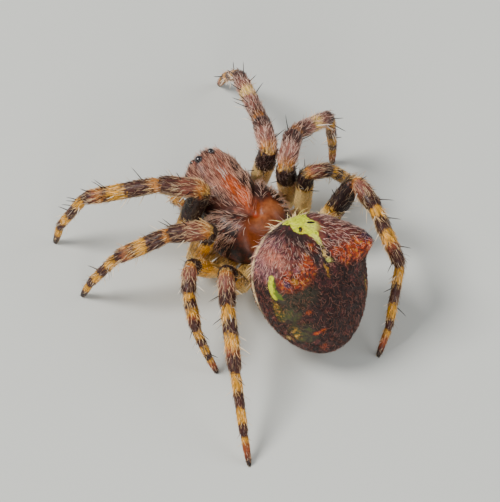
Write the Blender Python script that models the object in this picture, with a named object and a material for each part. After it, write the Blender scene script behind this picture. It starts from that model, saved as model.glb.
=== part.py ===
"""Gibbaranea gibbosa, a humped orb-weaving spider, as a still life-size model.

The spider stands on eight small foot flats at Z = 0, with its head towards -Y and its left side
towards +X. Shapes are worked out in millimetres and each finished mesh is scaled to metres.
Places are given as (forward, left, up), in millimetres, from the middle of the front body.
"""

import math
import random

import bmesh
import bpy
from mathutils import Euler, Matrix, Vector
from mathutils.bvhtree import BVHTree

MM = 0.001

# Space kept between touching solids
GAP = 0.05
EYE_GAP = 0.02

# Front body: the carapace above, the sternum below
CARAPACE_FRONT = 2.25
CARAPACE_REAR = -1.25
CARAPACE_FLOOR = 1.2
CARAPACE_SEGMENTS = 26
CARAPACE_RINGS = 22
CARAPACE_SQUARENESS = 2.5
# Fraction of the length from the rear, half width, height of the ridge
CARAPACE_STATIONS = (
    (0.00, 0.30, 1.45),
    (0.08, 0.74, 1.70),
    (0.20, 1.08, 1.98),
    (0.35, 1.23, 2.12),
    (0.50, 1.14, 2.16),
    (0.62, 0.90, 2.22),
    (0.72, 0.76, 2.32),
    (0.86, 0.72, 2.44),
    (0.95, 0.66, 2.42),
    (1.00, 0.50, 2.18),
)
FOVEA_PLACE = 0.30
FOVEA_DEPTH = 0.16
THORAX_BULGE = 0.09

STERNUM_MIDDLE = 0.0
STERNUM_HALF_LENGTH = 1.0
STERNUM_HALF_WIDTH = 0.66
STERNUM_TOP = CARAPACE_FLOOR - GAP
STERNUM_BOTTOM = 0.5
STERNUM_SIDES = 20
STERNUM_BEVEL = 0.1

MAXILLA_FORWARD = 1.14
MAXILLA_SIDE = 0.2
MAXILLA_UP = 0.72
MAXILLA_HALF_SIZES = (0.36, 0.22, 0.26)

# Chelicerae with their fangs
CHELICERA_FORWARD = 1.84
CHELICERA_SIDE = 0.26
CHELICERA_RADIUS = 0.24
CHELICERA_HALF_LENGTH = 0.5
CHELICERA_TOP = 0.3
CHELICERA_BULGE = 0.1
FANG_LENGTH = 0.26
FANG_RADIUS = 0.055

# Palps: root on the maxilla, then the end of each segment
PALP_JOINTS = (
    (1.28, 0.66, 0.80),
    (1.86, 0.92, 1.16),
    (2.16, 0.92, 1.10),
    (2.40, 0.80, 0.80),
    (2.46, 0.62, 0.26),
)
PALP_RADII = (0.11, 0.13, 0.13, 0.12, 0.11, 0.05)

# Eyes: place along the carapace, degrees from its side, and radius
FRONT_EYE_RADIUS = 0.095
REAR_EYE_RADIUS = 0.105
LATERAL_EYE_RADIUS = 0.065
EYES = {
    "eye_front_median": (0.97, 62, FRONT_EYE_RADIUS),
    "eye_rear_median": (0.93, 77, REAR_EYE_RADIUS),
    "eye_front_lateral": (0.985, 24, LATERAL_EYE_RADIUS),
    "eye_rear_lateral": (0.945, 30, LATERAL_EYE_RADIUS),
}
EYE_HEIGHT = 0.75

# Abdomen: an egg with two shoulder humps, held front end up
ABDOMEN_MIDDLE = (-3.10, 0.32, 2.09)
ABDOMEN_YAW = 8.0
ABDOMEN_PITCH = 54.5
ABDOMEN_ROLL = 7.0
ABDOMEN_HALF_LENGTH = 2.02
ABDOMEN_HALF_WIDTH = 1.66
ABDOMEN_HALF_HEIGHT = 1.35
ABDOMEN_TAPER = 0.17
ABDOMEN_SEGMENTS = 44
ABDOMEN_RINGS = 30
HUMP_SIDE = 1.15
HUMP_FORWARD = 0.93
HUMP_HEIGHT = 0.64
HUMP_LEAN = 0.5
HUMP_WIDTH = 0.5
# Each hump rises slowly from the front and drops steeply behind
HUMP_FRONT_LENGTH = 0.75
HUMP_REAR_LENGTH = 0.45
# 2 would round its tip off, 1 would make it a plain cone
HUMP_POINT = 1.6
# How far above the rim of the egg the humps reach their full height, from 0 to 1
HUMP_FADE = 0.5
# The swelling of the underside at the waist: height, place, half width, half length
WAIST_BULGE = 0.5
WAIST_BULGE_BACK = -0.05
WAIST_BULGE_WIDTH = 0.9
WAIST_BULGE_LENGTH = 0.95

SPINNERET_BASE_RADIUS = 0.3
SPINNERET_LENGTH = 0.26
PEDICEL_RADIUS = 0.2

# Legs: lengths of femur, patella, tibia and metatarsus, then the largest radius of each segment
LEG_LENGTHS = {
    1: (2.05, 1.20, 2.25, 1.50),
    2: (1.95, 1.10, 1.60, 1.45),
    3: (1.65, 0.80, 1.00, 0.95),
    4: (2.15, 1.00, 1.80, 1.75),
}
LEG_RADII = {
    1: (0.26, 0.31, 0.28, 0.24, 0.165, 0.130),
    2: (0.26, 0.31, 0.28, 0.24, 0.165, 0.130),
    3: (0.24, 0.26, 0.22, 0.19, 0.150, 0.120),
    4: (0.26, 0.31, 0.25, 0.22, 0.160, 0.125),
}
FOOT_RADIUS = 0.065
# Where each pair of femora starts
TROCHANTERS = {
    1: (1.30, 1.35, 0.75),
    2: (0.35, 1.70, 0.80),
    3: (-0.40, 1.53, 0.90),
    4: (-1.20, 1.30, 0.85),
}
# Where the middle line of each coxa meets the front body
COXA_AIMS = {
    1: (0.62, 0.30, 0.80),
    2: (0.24, 0.20, 0.80),
    3: (-0.24, 0.20, 0.80),
    4: (-0.62, 0.30, 0.80),
}
COXA_ROOT_RADIUS = 0.2
# Pose of each leg, in degrees: bearing of its plane from the head, lean of the plane, swing of
# the tibia, then how far femur, patella, tibia, metatarsus and tarsus rise above level
POSES = {
    ("left", 1): (51, -1, -4, 106, 10, -21, -63, -80),
    ("left", 2): (54, 12, 16, 102, -8, -21, -61, -75),
    ("left", 3): (131, -24, 6, 58, -16, -39, -70, -79),
    ("left", 4): (141, -12, 1, 64, -13, -28, -38, -47),
    ("right", 1): (29, -7, -5, 101, -10, -16, -54, -67),
    ("right", 2): (52, 1, 30, 102, 9, -25, -86, -92),
    ("right", 3): (101, 5, -2, 83, -20, -55, -64, -68),
    ("right", 4): (183, 40, -3, 88, -6, -23, -64, -76),
}
CORNER = 0.2
TUBE_BEVEL_RESOLUTION = 2

# Radius along each segment, as (fraction of its length, fraction of its largest radius)
COXA_PROFILE = ((0.0, 0.8), (0.5, 1.0), (1.0, 0.92))
FEMUR_PROFILE = ((0.0, 0.74), (0.15, 0.84), (0.4, 1.0), (0.7, 0.97), (1.0, 0.84))
PATELLA_PROFILE = ((0.0, 0.92), (0.35, 1.0), (0.75, 1.0), (1.0, 0.86))
TIBIA_PROFILE = ((0.0, 0.9), (0.2, 1.0), (0.75, 0.96), (1.0, 0.84))
METATARSUS_PROFILE = ((0.0, 0.95), (0.25, 1.0), (0.8, 0.92), (1.0, 0.88))
TARSUS_PROFILE = ((0.0, 0.94), (0.4, 1.0), (0.8, 0.8), (1.0, 0.5))

# Spines: for each segment its length, then each ring's place along the segment and the angles
# round it, where 90 is the upper side
SPINES = {
    "femur": (0.42, ((0.45, (60, 120)), (0.66, (90, 10)), (0.83, (50, 130)))),
    "patella": (0.42, ((0.40, (90,)), (0.70, (20, 160)))),
    "tibia": (0.50, ((0.24, (60, 150)), (0.44, (95, 20, 240)), (0.64, (60, 150, 300)), (0.80, (90, 200)))),
    "metatarsus": (0.40, ((0.24, (60, 130, 250)), (0.48, (90, 0, 290)), (0.70, (40, 150, 230)))),
}
SPINE_RADIUS = 0.04
SPINE_SIDES = 3
SPINE_SINK = 0.09
# Degrees that a spine leans towards the foot
SPINE_LEAN = 32.0
SPINE_CLEARANCE = 0.12
SPINE_SEED = 7

UP = Vector((0, 0, 1))
DOWN = Vector((0, 0, -1))
PAST_CUT = 0.08
# Stations of a segment keep this clear of the rounded joints at its ends
JOINT_SPACE = 0.26

COLOURS = {
    "carapace": (0.16, 0.05, 0.03),
    "ochre": (0.45, 0.27, 0.05),
    "brown": (0.12, 0.05, 0.03),
    "banded": (0.32, 0.19, 0.07),
    "eye": (0.01, 0.01, 0.012),
    "abdomen": (0.13, 0.05, 0.04),
}


def place(forward, left, up):
    """Turns (forward, left, up) into this model's axes."""
    return Vector((left, -forward, up))


def interpolate(stations, value):
    """Reads a table of (value, amount, ...) rows with straight lines between its rows."""
    for lower, upper in zip(stations, stations[1:]):
        if value <= upper[0]:
            share = (value - lower[0]) / (upper[0] - lower[0])
            return [a + (b - a) * share for a, b in zip(lower[1:], upper[1:])]
    return list(stations[-1][1:])


def clear_scene():
    for old in list(bpy.data.objects):
        bpy.data.objects.remove(old, do_unlink=True)


def material(colour):
    found = bpy.data.materials.get(colour)
    if found:
        return found
    made = bpy.data.materials.new(colour)
    made.use_nodes = True
    shader = made.node_tree.nodes["Principled BSDF"]
    shader.inputs["Base Color"].default_value = (*COLOURS[colour], 1.0)
    shader.inputs["Roughness"].default_value = 0.12 if colour == "eye" else 0.55
    return made


def finish(name, mesh, colour, origin, collection, root):
    """Makes a node of a mesh given in millimetres about its origin, and puts it in its place."""
    mesh.transform(Matrix.Scale(MM, 4))
    mesh.name = name
    mesh.materials.clear()
    mesh.materials.append(material(colour))
    mesh.shade_smooth()
    mesh.set_sharp_from_angle(angle=math.radians(50))
    node = bpy.data.objects.new(name, mesh)
    node.location = origin * MM
    node.parent = root
    collection.objects.link(node)
    return node


def surface_of(node):
    """A search tree over a finished node's surface, in millimetres in the model's own frame."""
    points = [(node.location + vertex.co) / MM for vertex in node.data.vertices]
    faces = [tuple(face.vertices) for face in node.data.polygons]
    return BVHTree.FromPolygons(points, faces)


def surface_of_mesh(mesh, origin):
    """A search tree over a mesh that is still in millimetres about its origin."""
    points = [origin + vertex.co for vertex in mesh.vertices]
    faces = [tuple(face.vertices) for face in mesh.polygons]
    return BVHTree.FromPolygons(points, faces)


def meet(tree, start, towards):
    """Where a line first meets a surface, and which way that surface faces there."""
    point, normal, _, _ = tree.ray_cast(start, (towards - start).normalized())
    if normal.dot(towards - start) > 0:
        normal = -normal
    return point, normal


def stations_along(start, end, radius, profile):
    """Places and radii along one straight segment, clear of the joints at its ends."""
    length = (end - start).length
    found = []
    for fraction, scale in profile:
        if JOINT_SPACE <= fraction * length <= length - JOINT_SPACE:
            found.append((start.lerp(end, fraction), radius * scale))
    return found


def corner(before, joint, after, radius):
    """The three stations that round a joint, and the direction of travel at its middle."""
    arriving = (joint - before).normalized()
    leaving = (after - joint).normalized()
    reach = min(CORNER, 0.35 * (joint - before).length, 0.35 * (after - joint).length)
    middle = joint + (leaving - arriving) * reach / 4
    return (
        (joint - arriving * reach, radius),
        (middle, radius),
        (joint + leaving * reach, radius),
        (arriving + leaving).normalized(),
    )


def tube(name, stations, collection, ends=()):
    """A closed round tube through stations of (place, radius), cut flat by planes, and its origin."""
    origin = stations[0][0].copy()
    data = bpy.data.curves.new(name, "CURVE")
    data.dimensions = "3D"
    data.bevel_depth = 1.0
    data.bevel_resolution = TUBE_BEVEL_RESOLUTION
    data.use_fill_caps = True
    spline = data.splines.new("POLY")
    spline.points.add(len(stations) - 1)
    for point, (where, radius) in zip(spline.points, stations):
        point.co = (*(where - origin), 1.0)
        point.radius = radius
    guide = bpy.data.objects.new(name + "_guide", data)
    collection.objects.link(guide)
    bpy.context.view_layer.update()
    mesh = bpy.data.meshes.new_from_object(guide.evaluated_get(bpy.context.evaluated_depsgraph_get()))
    bpy.data.objects.remove(guide)
    shape = bmesh.new()
    shape.from_mesh(mesh)
    bmesh.ops.remove_doubles(shape, verts=shape.verts, dist=1e-5)
    for point, outward in ends:
        cut(shape, point - origin, outward)
    bmesh.ops.recalc_face_normals(shape, faces=shape.faces)
    bmesh.ops.triangulate(shape, faces=shape.faces)
    shape.to_mesh(mesh)
    shape.free()
    return mesh, origin


def shaped_sphere(segments, rings, shape_point):
    """A sphere primitive along the forward axis, each of whose points is moved by a function."""
    shape = bmesh.new()
    bmesh.ops.create_uvsphere(shape, u_segments=segments, v_segments=rings, radius=1.0)
    bmesh.ops.rotate(shape, verts=shape.verts, matrix=Matrix.Rotation(math.radians(90), 3, "X"))
    for vertex in shape.verts:
        vertex.co = shape_point(vertex.co.copy())
    return shape


def to_mesh(shape, name):
    bmesh.ops.recalc_face_normals(shape, faces=shape.faces)
    bmesh.ops.triangulate(shape, faces=shape.faces)
    mesh = bpy.data.meshes.new(name)
    shape.to_mesh(mesh)
    shape.free()
    return mesh


def cut(shape, point, outward):
    """Removes what lies beyond a plane and closes the cut."""
    bmesh.ops.bisect_plane(
        shape,
        geom=list(shape.verts) + list(shape.edges) + list(shape.faces),
        dist=1e-5,
        plane_co=point,
        plane_no=outward,
        clear_outer=True,
    )
    rim = [edge for edge in shape.edges if edge.is_boundary]
    bmesh.ops.contextual_create(shape, geom=rim)


def squared(share):
    """Turns a circle's share of width or height into that of a squarer arch."""
    return math.copysign(abs(share) ** (2 / CARAPACE_SQUARENESS), share)


def carapace_point(along, angle):
    """A point of the carapace, from its place along the length and its angle above the side."""
    half_width, ridge = interpolate(CARAPACE_STATIONS, along)
    forward = CARAPACE_REAR + (CARAPACE_FRONT - CARAPACE_REAR) * along
    side = squared(math.cos(angle))
    rise = squared(math.sin(angle))
    height = ridge - CARAPACE_FLOOR
    # Two swellings of the thorax stand beside the pit in its middle
    pit = math.exp(-(((along - FOVEA_PLACE) / 0.09) ** 2) - (side / 0.2) ** 2)
    swell = math.exp(-(((along - 0.26) / 0.16) ** 2) - ((abs(side) - 0.45) / 0.25) ** 2)
    lift = THORAX_BULGE * swell - FOVEA_DEPTH * pit
    up = CARAPACE_FLOOR + (height + lift) * (rise if rise > 0 else 0.4 * rise)
    return place(forward, half_width * side, up)


def build_carapace(collection, root):
    def shape_point(unit):
        along = (1 - unit.y) / 2
        angle = math.atan2(unit.z, unit.x)
        # The poles of the sphere become the flat rear and front of the carapace
        if abs(unit.y) > 0.9999:
            half_width, ridge = interpolate(CARAPACE_STATIONS, along)
            middle = carapace_point(along, math.pi / 2)
            middle.z = (ridge + CARAPACE_FLOOR) / 2
            return middle
        return carapace_point(along, angle)

    shape = shaped_sphere(CARAPACE_SEGMENTS, CARAPACE_RINGS, shape_point)
    cut(shape, Vector((0, 0, CARAPACE_FLOOR)), DOWN)
    mesh = to_mesh(shape, "carapace")
    return finish("carapace", mesh, "carapace", Vector((0, 0, 0)), collection, root)


def join(pieces, name, collection):
    """Fuses closed pieces into one closed mesh and removes them."""
    group = bpy.data.collections.new(name + "_pieces")
    collection.children.link(group)
    for index, mesh in enumerate(pieces[1:]):
        group.objects.link(bpy.data.objects.new(f"{name}_piece_{index}", mesh))
    body = bpy.data.objects.new(name + "_body", pieces[0])
    collection.objects.link(body)
    union = body.modifiers.new("union", "BOOLEAN")
    union.operation = "UNION"
    union.operand_type = "COLLECTION"
    union.collection = group
    union.solver = "EXACT"
    bpy.context.view_layer.update()
    graph = bpy.context.evaluated_depsgraph_get()
    mesh = bpy.data.meshes.new_from_object(body.evaluated_get(graph))
    for piece in list(group.objects):
        bpy.data.objects.remove(piece)
    bpy.data.collections.remove(group)
    bpy.data.objects.remove(body)
    return keep_largest(mesh)


def keep_largest(mesh):
    """Leaves only the largest closed surface of a mesh."""
    shape = bmesh.new()
    shape.from_mesh(mesh)
    bmesh.ops.triangulate(shape, faces=shape.faces)
    unseen = set(shape.faces)
    islands = []
    while unseen:
        front = [unseen.pop()]
        island = list(front)
        while front:
            face = front.pop()
            for edge in face.edges:
                for other in edge.link_faces:
                    if other in unseen:
                        unseen.discard(other)
                        front.append(other)
                        island.append(other)
        islands.append(island)
    islands.sort(key=lambda island: -abs(signed_volume(island)))
    for island in islands[1:]:
        bmesh.ops.delete(shape, geom=island, context="FACES")
    loose = [vertex for vertex in shape.verts if not vertex.link_faces]
    bmesh.ops.delete(shape, geom=loose, context="VERTS")
    shape.to_mesh(mesh)
    shape.free()
    return mesh


def signed_volume(faces):
    total = 0.0
    for face in faces:
        a, b, c = (vertex.co for vertex in face.verts)
        total += a.dot(b.cross(c)) / 6
    return total


def ellipsoid(middle, half_sizes, segments, rings):
    shape = bmesh.new()
    bmesh.ops.create_uvsphere(shape, u_segments=segments, v_segments=rings, radius=1.0)
    for vertex in shape.verts:
        vertex.co = middle + Vector(
            (
                vertex.co.x * half_sizes[1],
                vertex.co.y * half_sizes[0],
                vertex.co.z * half_sizes[2],
            )
        )
    return to_mesh(shape, "ellipsoid")


def build_sternum(collection, root):
    """The heart-shaped underside, with the labium and maxillae fused to its front."""
    depth = STERNUM_TOP - STERNUM_BOTTOM
    shape = bmesh.new()
    bmesh.ops.create_cone(
        shape,
        cap_ends=True,
        segments=STERNUM_SIDES,
        radius1=1.0,
        radius2=1.0,
        depth=depth,
    )
    edges = [edge for edge in shape.edges if all(vertex.co.z < 0 for vertex in edge.verts)]
    for vertex in shape.verts:
        heart = 1.0 - 0.22 * max(0.0, vertex.co.y)
        vertex.co.x *= STERNUM_HALF_WIDTH * heart
        vertex.co.y *= STERNUM_HALF_LENGTH
        vertex.co += place(STERNUM_MIDDLE, 0, (STERNUM_TOP + STERNUM_BOTTOM) / 2)
    bmesh.ops.bevel(shape, geom=edges, offset=STERNUM_BEVEL, segments=2, affect="EDGES", profile=0.5)
    pieces = [to_mesh(shape, "sternum")]
    for side in (1, -1):
        middle = place(MAXILLA_FORWARD, side * MAXILLA_SIDE, MAXILLA_UP)
        pieces.append(ellipsoid(middle, MAXILLA_HALF_SIZES, 12, 8))
    mesh = join(pieces, "sternum", collection)
    return finish("sternum", mesh, "ochre", Vector((0, 0, 0)), collection, root)


def build_chelicera(side, side_name, collection, root):
    """A stout tapering basal segment whose fang folds in below it."""
    top = place(CHELICERA_FORWARD, side * CHELICERA_SIDE, CARAPACE_FLOOR - GAP)

    def shape_point(unit):
        width = CHELICERA_RADIUS * (1 - 0.2 * unit.y)
        bulge = CHELICERA_BULGE * (1 - unit.y**2)
        down = CHELICERA_TOP + CHELICERA_HALF_LENGTH * unit.y
        return top + place(width * unit.z + bulge, width * unit.x, -down)

    shape = shaped_sphere(14, 12, shape_point)
    cut(shape, top, UP)
    tip = top + place(0.02, -side * 0.02, -CHELICERA_TOP - CHELICERA_HALF_LENGTH)
    fang = cone(tip + UP * 0.12, tip + place(-0.1, -side * 0.16, 0.12 - FANG_LENGTH), FANG_RADIUS, 6)
    mesh = join([to_mesh(shape, "chelicera"), fang], "chelicera", collection)
    return finish("chelicera_" + side_name, mesh, "carapace", Vector((0, 0, 0)), collection, root)


def cone(start, end, radius, sides):
    """A closed cone from its root to its point."""
    shape = bmesh.new()
    bmesh.ops.create_cone(
        shape,
        cap_ends=True,
        segments=sides,
        radius1=radius,
        radius2=radius * 0.2,
        depth=(end - start).length,
    )
    turn = (end - start).to_track_quat("Z", "Y")
    bmesh.ops.rotate(shape, verts=shape.verts, matrix=turn.to_matrix())
    bmesh.ops.translate(shape, verts=shape.verts, vec=(start + end) / 2)
    return to_mesh(shape, "cone")


def build_palp(side, side_name, sternum, collection, root):
    joints = [place(f, side * l, z) for f, l, z in PALP_JOINTS]
    aim = place(MAXILLA_FORWARD, side * 0.1, MAXILLA_UP)
    root_point, normal = meet(sternum, joints[0], aim)
    stations = [
        (root_point + normal * GAP, PALP_RADII[0]),
        (root_point + normal * (GAP + 0.05), PALP_RADII[0]),
    ]
    for index in range(len(joints) - 1):
        before = joints[index - 1] if index else root_point
        first, middle, last, _ = corner(before, joints[index], joints[index + 1], PALP_RADII[index + 1])
        stations += [first, middle, last] if index else [(joints[0], PALP_RADII[1])]
        halfway = joints[index].lerp(joints[index + 1], 0.55)
        stations.append((halfway, PALP_RADII[index + 1] * 1.08))
    stations.append((joints[-1], PALP_RADII[-1]))
    name = "palp_" + side_name
    mesh, origin = tube(name, stations, collection)
    return finish(name, mesh, "banded", origin, collection, root)


def build_eye(name, along, degrees, radius, side, collection, root):
    """A dome whose flat base lies just clear of the carapace."""
    angle = math.radians(degrees if side > 0 else 180 - degrees)
    point = carapace_point(along, angle)
    step = 0.01
    normal = (carapace_point(along - step, angle) - point).cross(
        carapace_point(along, angle + step) - point
    )
    if normal.dot(point - place(CARAPACE_FRONT - 0.6, 0, 1.5)) < 0:
        normal = -normal
    normal.normalize()
    shape = bmesh.new()
    bmesh.ops.create_uvsphere(shape, u_segments=12, v_segments=8, radius=radius)
    for vertex in shape.verts:
        vertex.co.z *= EYE_HEIGHT
    cut(shape, Vector((0, 0, 0)), DOWN)
    turn = normal.to_track_quat("Z", "Y").to_matrix()
    bmesh.ops.rotate(shape, verts=shape.verts, matrix=turn)
    mesh = to_mesh(shape, name)
    return finish(name, mesh, "eye", point + normal * EYE_GAP, collection, root)


def abdomen_turn():
    """How the abdomen is turned from lying level along the body."""
    return Euler(
        (math.radians(-ABDOMEN_PITCH), math.radians(-ABDOMEN_ROLL), math.radians(-ABDOMEN_YAW)),
        "YXZ",
    ).to_matrix()


def abdomen_point(unit):
    """A point of the abdomen about its middle, before it is turned."""
    narrowing = 1 - ABDOMEN_TAPER * unit.y
    left = ABDOMEN_HALF_WIDTH * unit.x * narrowing
    up = ABDOMEN_HALF_HEIGHT * unit.z * (1 - 0.5 * ABDOMEN_TAPER * unit.y)
    back = ABDOMEN_HALF_LENGTH * unit.y
    if unit.z > 0:
        across = (abs(left) - HUMP_SIDE) / HUMP_WIDTH
        from_tip = back + HUMP_FORWARD
        along = from_tip / (HUMP_REAR_LENGTH if from_tip > 0 else HUMP_FRONT_LENGTH)
        fade = min(1.0, unit.z / HUMP_FADE)
        hump = HUMP_HEIGHT * math.exp(-(math.hypot(across, along) ** HUMP_POINT))
        hump *= fade * fade * (3 - 2 * fade)
        up += hump
        left += math.copysign(HUMP_LEAN * hump, left)
    else:
        across = left / WAIST_BULGE_WIDTH
        along = (back - WAIST_BULGE_BACK) / WAIST_BULGE_LENGTH
        up -= WAIST_BULGE * math.exp(-(across**2) - along**2)
    return Vector((left, back, up))


def build_abdomen(collection, root):
    turn = abdomen_turn()
    shape = shaped_sphere(ABDOMEN_SEGMENTS, ABDOMEN_RINGS, lambda unit: turn @ abdomen_point(unit))
    mesh = to_mesh(shape, "abdomen")
    return finish("abdomen", mesh, "abdomen", place(*ABDOMEN_MIDDLE), collection, root)


def build_spinnerets(abdomen, collection, root):
    """A low mound with three pairs of spigots, below the rear of the abdomen."""
    turn = abdomen_turn()
    middle = place(*ABDOMEN_MIDDLE)
    outside = middle + turn @ Vector((0, ABDOMEN_HALF_LENGTH * 1.2, -ABDOMEN_HALF_HEIGHT * 0.9))
    point, normal = meet(abdomen, outside, middle)
    base = point + normal * GAP
    top = base + normal * SPINNERET_LENGTH * 0.55
    pieces = [cone(base, top + normal * 0.12, SPINNERET_BASE_RADIUS, 12)]
    across = normal.cross(Vector((0, 1, 0))).normalized()
    along = normal.cross(across).normalized()
    for row, length in ((-0.12, 0.9), (0.0, 0.6), (0.12, 1.0)):
        for side in (1, -1):
            foot = base + across * side * 0.09 + along * row
            tip = foot + normal * SPINNERET_LENGTH * length + across * side * 0.03
            pieces.append(cone(foot + normal * 0.05, tip, 0.075, 6))
    mesh = join(pieces, "spinnerets", collection)
    return finish("spinnerets", mesh, "brown", Vector((0, 0, 0)), collection, root)


def build_pedicel(sternum, abdomen, collection, root):
    """The narrow waist between the front body and the abdomen."""
    start = place(STERNUM_MIDDLE, 0, 0.9)
    behind = place(-1.6, 0.02, 1.0)
    from_body, body_normal = meet(sternum, behind, start)
    middle = place(*ABDOMEN_MIDDLE)
    to_abdomen, abdomen_normal = meet(abdomen, from_body, middle + Vector((0, -0.6, -0.5)))
    first = from_body + body_normal * GAP
    last = to_abdomen + abdomen_normal * GAP
    stations = [
        (first, PEDICEL_RADIUS * 0.8),
        (first + body_normal * 0.06, PEDICEL_RADIUS * 0.8),
        (first.lerp(last, 0.5), PEDICEL_RADIUS),
        (last + abdomen_normal * 0.06, PEDICEL_RADIUS * 0.9),
        (last, PEDICEL_RADIUS * 0.9),
    ]
    mesh, origin = tube("pedicel", stations, collection)
    return finish("pedicel", mesh, "ochre", origin, collection, root)


def leg_joints(side, pair):
    """The six joints of a leg, from the trochanter down to the foot on the floor."""
    bearing, lean, swing, *rises = (math.radians(value) for value in POSES[side, pair])
    sign = 1 if side == "left" else -1
    forward, left, up = TROCHANTERS[pair]
    joints = [place(forward, sign * left, up)]
    for index, rise in enumerate(rises):
        turn = bearing + (swing if index >= 2 else 0)
        outward = place(math.cos(turn), sign * math.sin(turn), 0)
        upward = Vector((0, 0, math.cos(lean))) + Vector((0, 0, 1)).cross(outward) * math.sin(lean)
        direction = outward * math.cos(rise) + upward * math.sin(rise)
        if index < 4:
            length = LEG_LENGTHS[pair][index]
        else:
            # The tarsus is as long as it must be to stand on the floor
            length = joints[-1].z / -direction.z
        joints.append(joints[-1] + direction * length)
    return joints


def past(joint_cut, sign, radius):
    """A station just past the plane of a joint, which trims it."""
    middle, way = joint_cut
    return middle + way * sign * PAST_CUT, radius


def side_of(joint_cut, sign):
    """The plane that ends a segment at a joint, half the gap short of its middle."""
    middle, way = joint_cut
    return middle - way * sign * GAP / 2, way * sign


def build_leg(side, pair, sternum, collection):
    """The four plain nodes of a leg, each as (name, colour, mesh, origin, limbs that bear spines)."""
    sign = 1 if side == "left" else -1
    hip, knee, shin, heel, ankle, toe = leg_joints(side, pair)
    radii = LEG_RADII[pair]
    forward, left, up = COXA_AIMS[pair]
    root_point, normal = meet(sternum, hip, place(forward, sign * left, up))
    first_hip, mid_hip, last_hip, hip_way = corner(root_point, hip, knee, radii[0] * 0.9)
    first_knee, mid_knee, last_knee, knee_way = corner(hip, knee, shin, radii[1] * 0.84)
    first_shin, mid_shin, last_shin, _ = corner(knee, shin, heel, radii[2] * 0.86)
    first_heel, mid_heel, last_heel, heel_way = corner(shin, heel, ankle, radii[3] * 0.8)
    first_ankle, mid_ankle, last_ankle, _ = corner(heel, ankle, toe, radii[4] * 0.88)
    hip_cut = mid_hip[0], hip_way
    knee_cut = mid_knee[0], knee_way
    heel_cut = mid_heel[0], heel_way
    coxa = [
        (root_point + normal * GAP, COXA_ROOT_RADIUS),
        (root_point + normal * (GAP + 0.06), COXA_ROOT_RADIUS),
        *stations_along(root_point, hip, radii[0], COXA_PROFILE),
        first_hip,
        past(hip_cut, 1, radii[0] * 0.8),
    ]
    femur = [
        past(hip_cut, -1, radii[0] * 0.8),
        last_hip,
        *stations_along(hip, knee, radii[1], FEMUR_PROFILE),
        first_knee,
        past(knee_cut, 1, radii[1] * 0.8),
    ]
    tibia = [
        past(knee_cut, -1, radii[2] * 0.85),
        last_knee,
        *stations_along(knee, shin, radii[2], PATELLA_PROFILE),
        first_shin,
        mid_shin,
        last_shin,
        *stations_along(shin, heel, radii[3], TIBIA_PROFILE),
        first_heel,
        past(heel_cut, 1, radii[3] * 0.76),
    ]
    foot = [
        past(heel_cut, -1, radii[4] * 0.9),
        last_heel,
        *stations_along(heel, ankle, radii[4], METATARSUS_PROFILE),
        first_ankle,
        mid_ankle,
        last_ankle,
        *stations_along(ankle, toe, radii[5], TARSUS_PROFILE),
        (toe + UP * 0.07, FOOT_RADIUS * 1.1),
        (toe, FOOT_RADIUS),
    ]
    across = (knee - hip).cross(heel - hip).normalized()
    limbs = {
        "femur": (hip, knee, radii[1], FEMUR_PROFILE, across),
        "patella": (knee, shin, radii[2], PATELLA_PROFILE, across),
        "tibia": (shin, heel, radii[3], TIBIA_PROFILE, across),
        "metatarsus": (heel, ankle, radii[4], METATARSUS_PROFILE, across),
    }
    segments = (
        ("coxa", "ochre", coxa, [side_of(hip_cut, 1)], ()),
        ("femur", "brown", femur, [side_of(hip_cut, -1), side_of(knee_cut, 1)], ("femur",)),
        ("tibia", "banded", tibia, [side_of(knee_cut, -1), side_of(heel_cut, 1)], ("patella", "tibia")),
        ("foot", "banded", foot, [side_of(heel_cut, -1)], ("metatarsus",)),
    )
    built = []
    for segment, colour, stations, ends, spiny in segments:
        name = f"leg{pair}_{side}_{segment}"
        mesh, origin = tube(name, stations, collection, ends)
        built.append((name, colour, mesh, origin, [(limb, limbs[limb]) for limb in spiny]))
    return built


def is_clear(start, end, others):
    """Whether a spine keeps off the floor and off every other node."""
    way = (end - start).normalized()
    reach = (end - start).length + SPINE_CLEARANCE
    if (end + way * SPINE_CLEARANCE).z < 0:
        return False
    for tree in others:
        if tree.ray_cast(start, way, reach)[0] is not None:
            return False
        if tree.find_nearest(end, SPINE_CLEARANCE)[0] is not None:
            return False
    return True


def spines_of(limb, shape, others, chance):
    """The closed cones that stand on one limb, pointing outwards and towards the foot."""
    start, end, radius, profile, across = shape
    length, rings = SPINES[limb]
    along = (end - start).normalized()
    upper = along.cross(across)
    cones = []
    for fraction, angles in rings:
        for angle in angles:
            turn = math.radians(angle + chance.uniform(-12, 12))
            lean = math.radians(SPINE_LEAN + chance.uniform(-8, 8))
            reach = length * chance.uniform(0.85, 1.15)
            spot = fraction + chance.uniform(-0.03, 0.03)
            outward = across * math.cos(turn) + upper * math.sin(turn)
            surface = radius * interpolate(profile, spot)[0]
            foot = start.lerp(end, spot) + outward * (surface - SPINE_SINK)
            way = outward * math.cos(lean) + along * math.sin(lean)
            tip = foot + way * (reach + SPINE_SINK)
            if is_clear(foot, tip, others):
                cones.append(cone(foot, tip, SPINE_RADIUS, SPINE_SIDES))
    return cones


def build_legs(sternum, bodies, collection, root):
    """All the legs, with the spines that keep clear of everything else."""
    segments = []
    for side in ("left", "right"):
        for pair in LEG_LENGTHS:
            segments += build_leg(side, pair, sternum, collection)
    trees = {name: surface_of_mesh(mesh, origin) for name, _, mesh, origin, _ in segments}
    chance = random.Random(SPINE_SEED)
    for name, colour, mesh, origin, limbs in segments:
        others = bodies + [tree for other, tree in trees.items() if other != name]
        cones = []
        for limb, shape in limbs:
            cones += spines_of(limb, shape, others, chance)
        for piece in cones:
            piece.transform(Matrix.Translation(-origin))
        if cones:
            mesh = join([mesh, *cones], name, collection)
        finish(name, mesh, colour, origin, collection, root)


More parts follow.
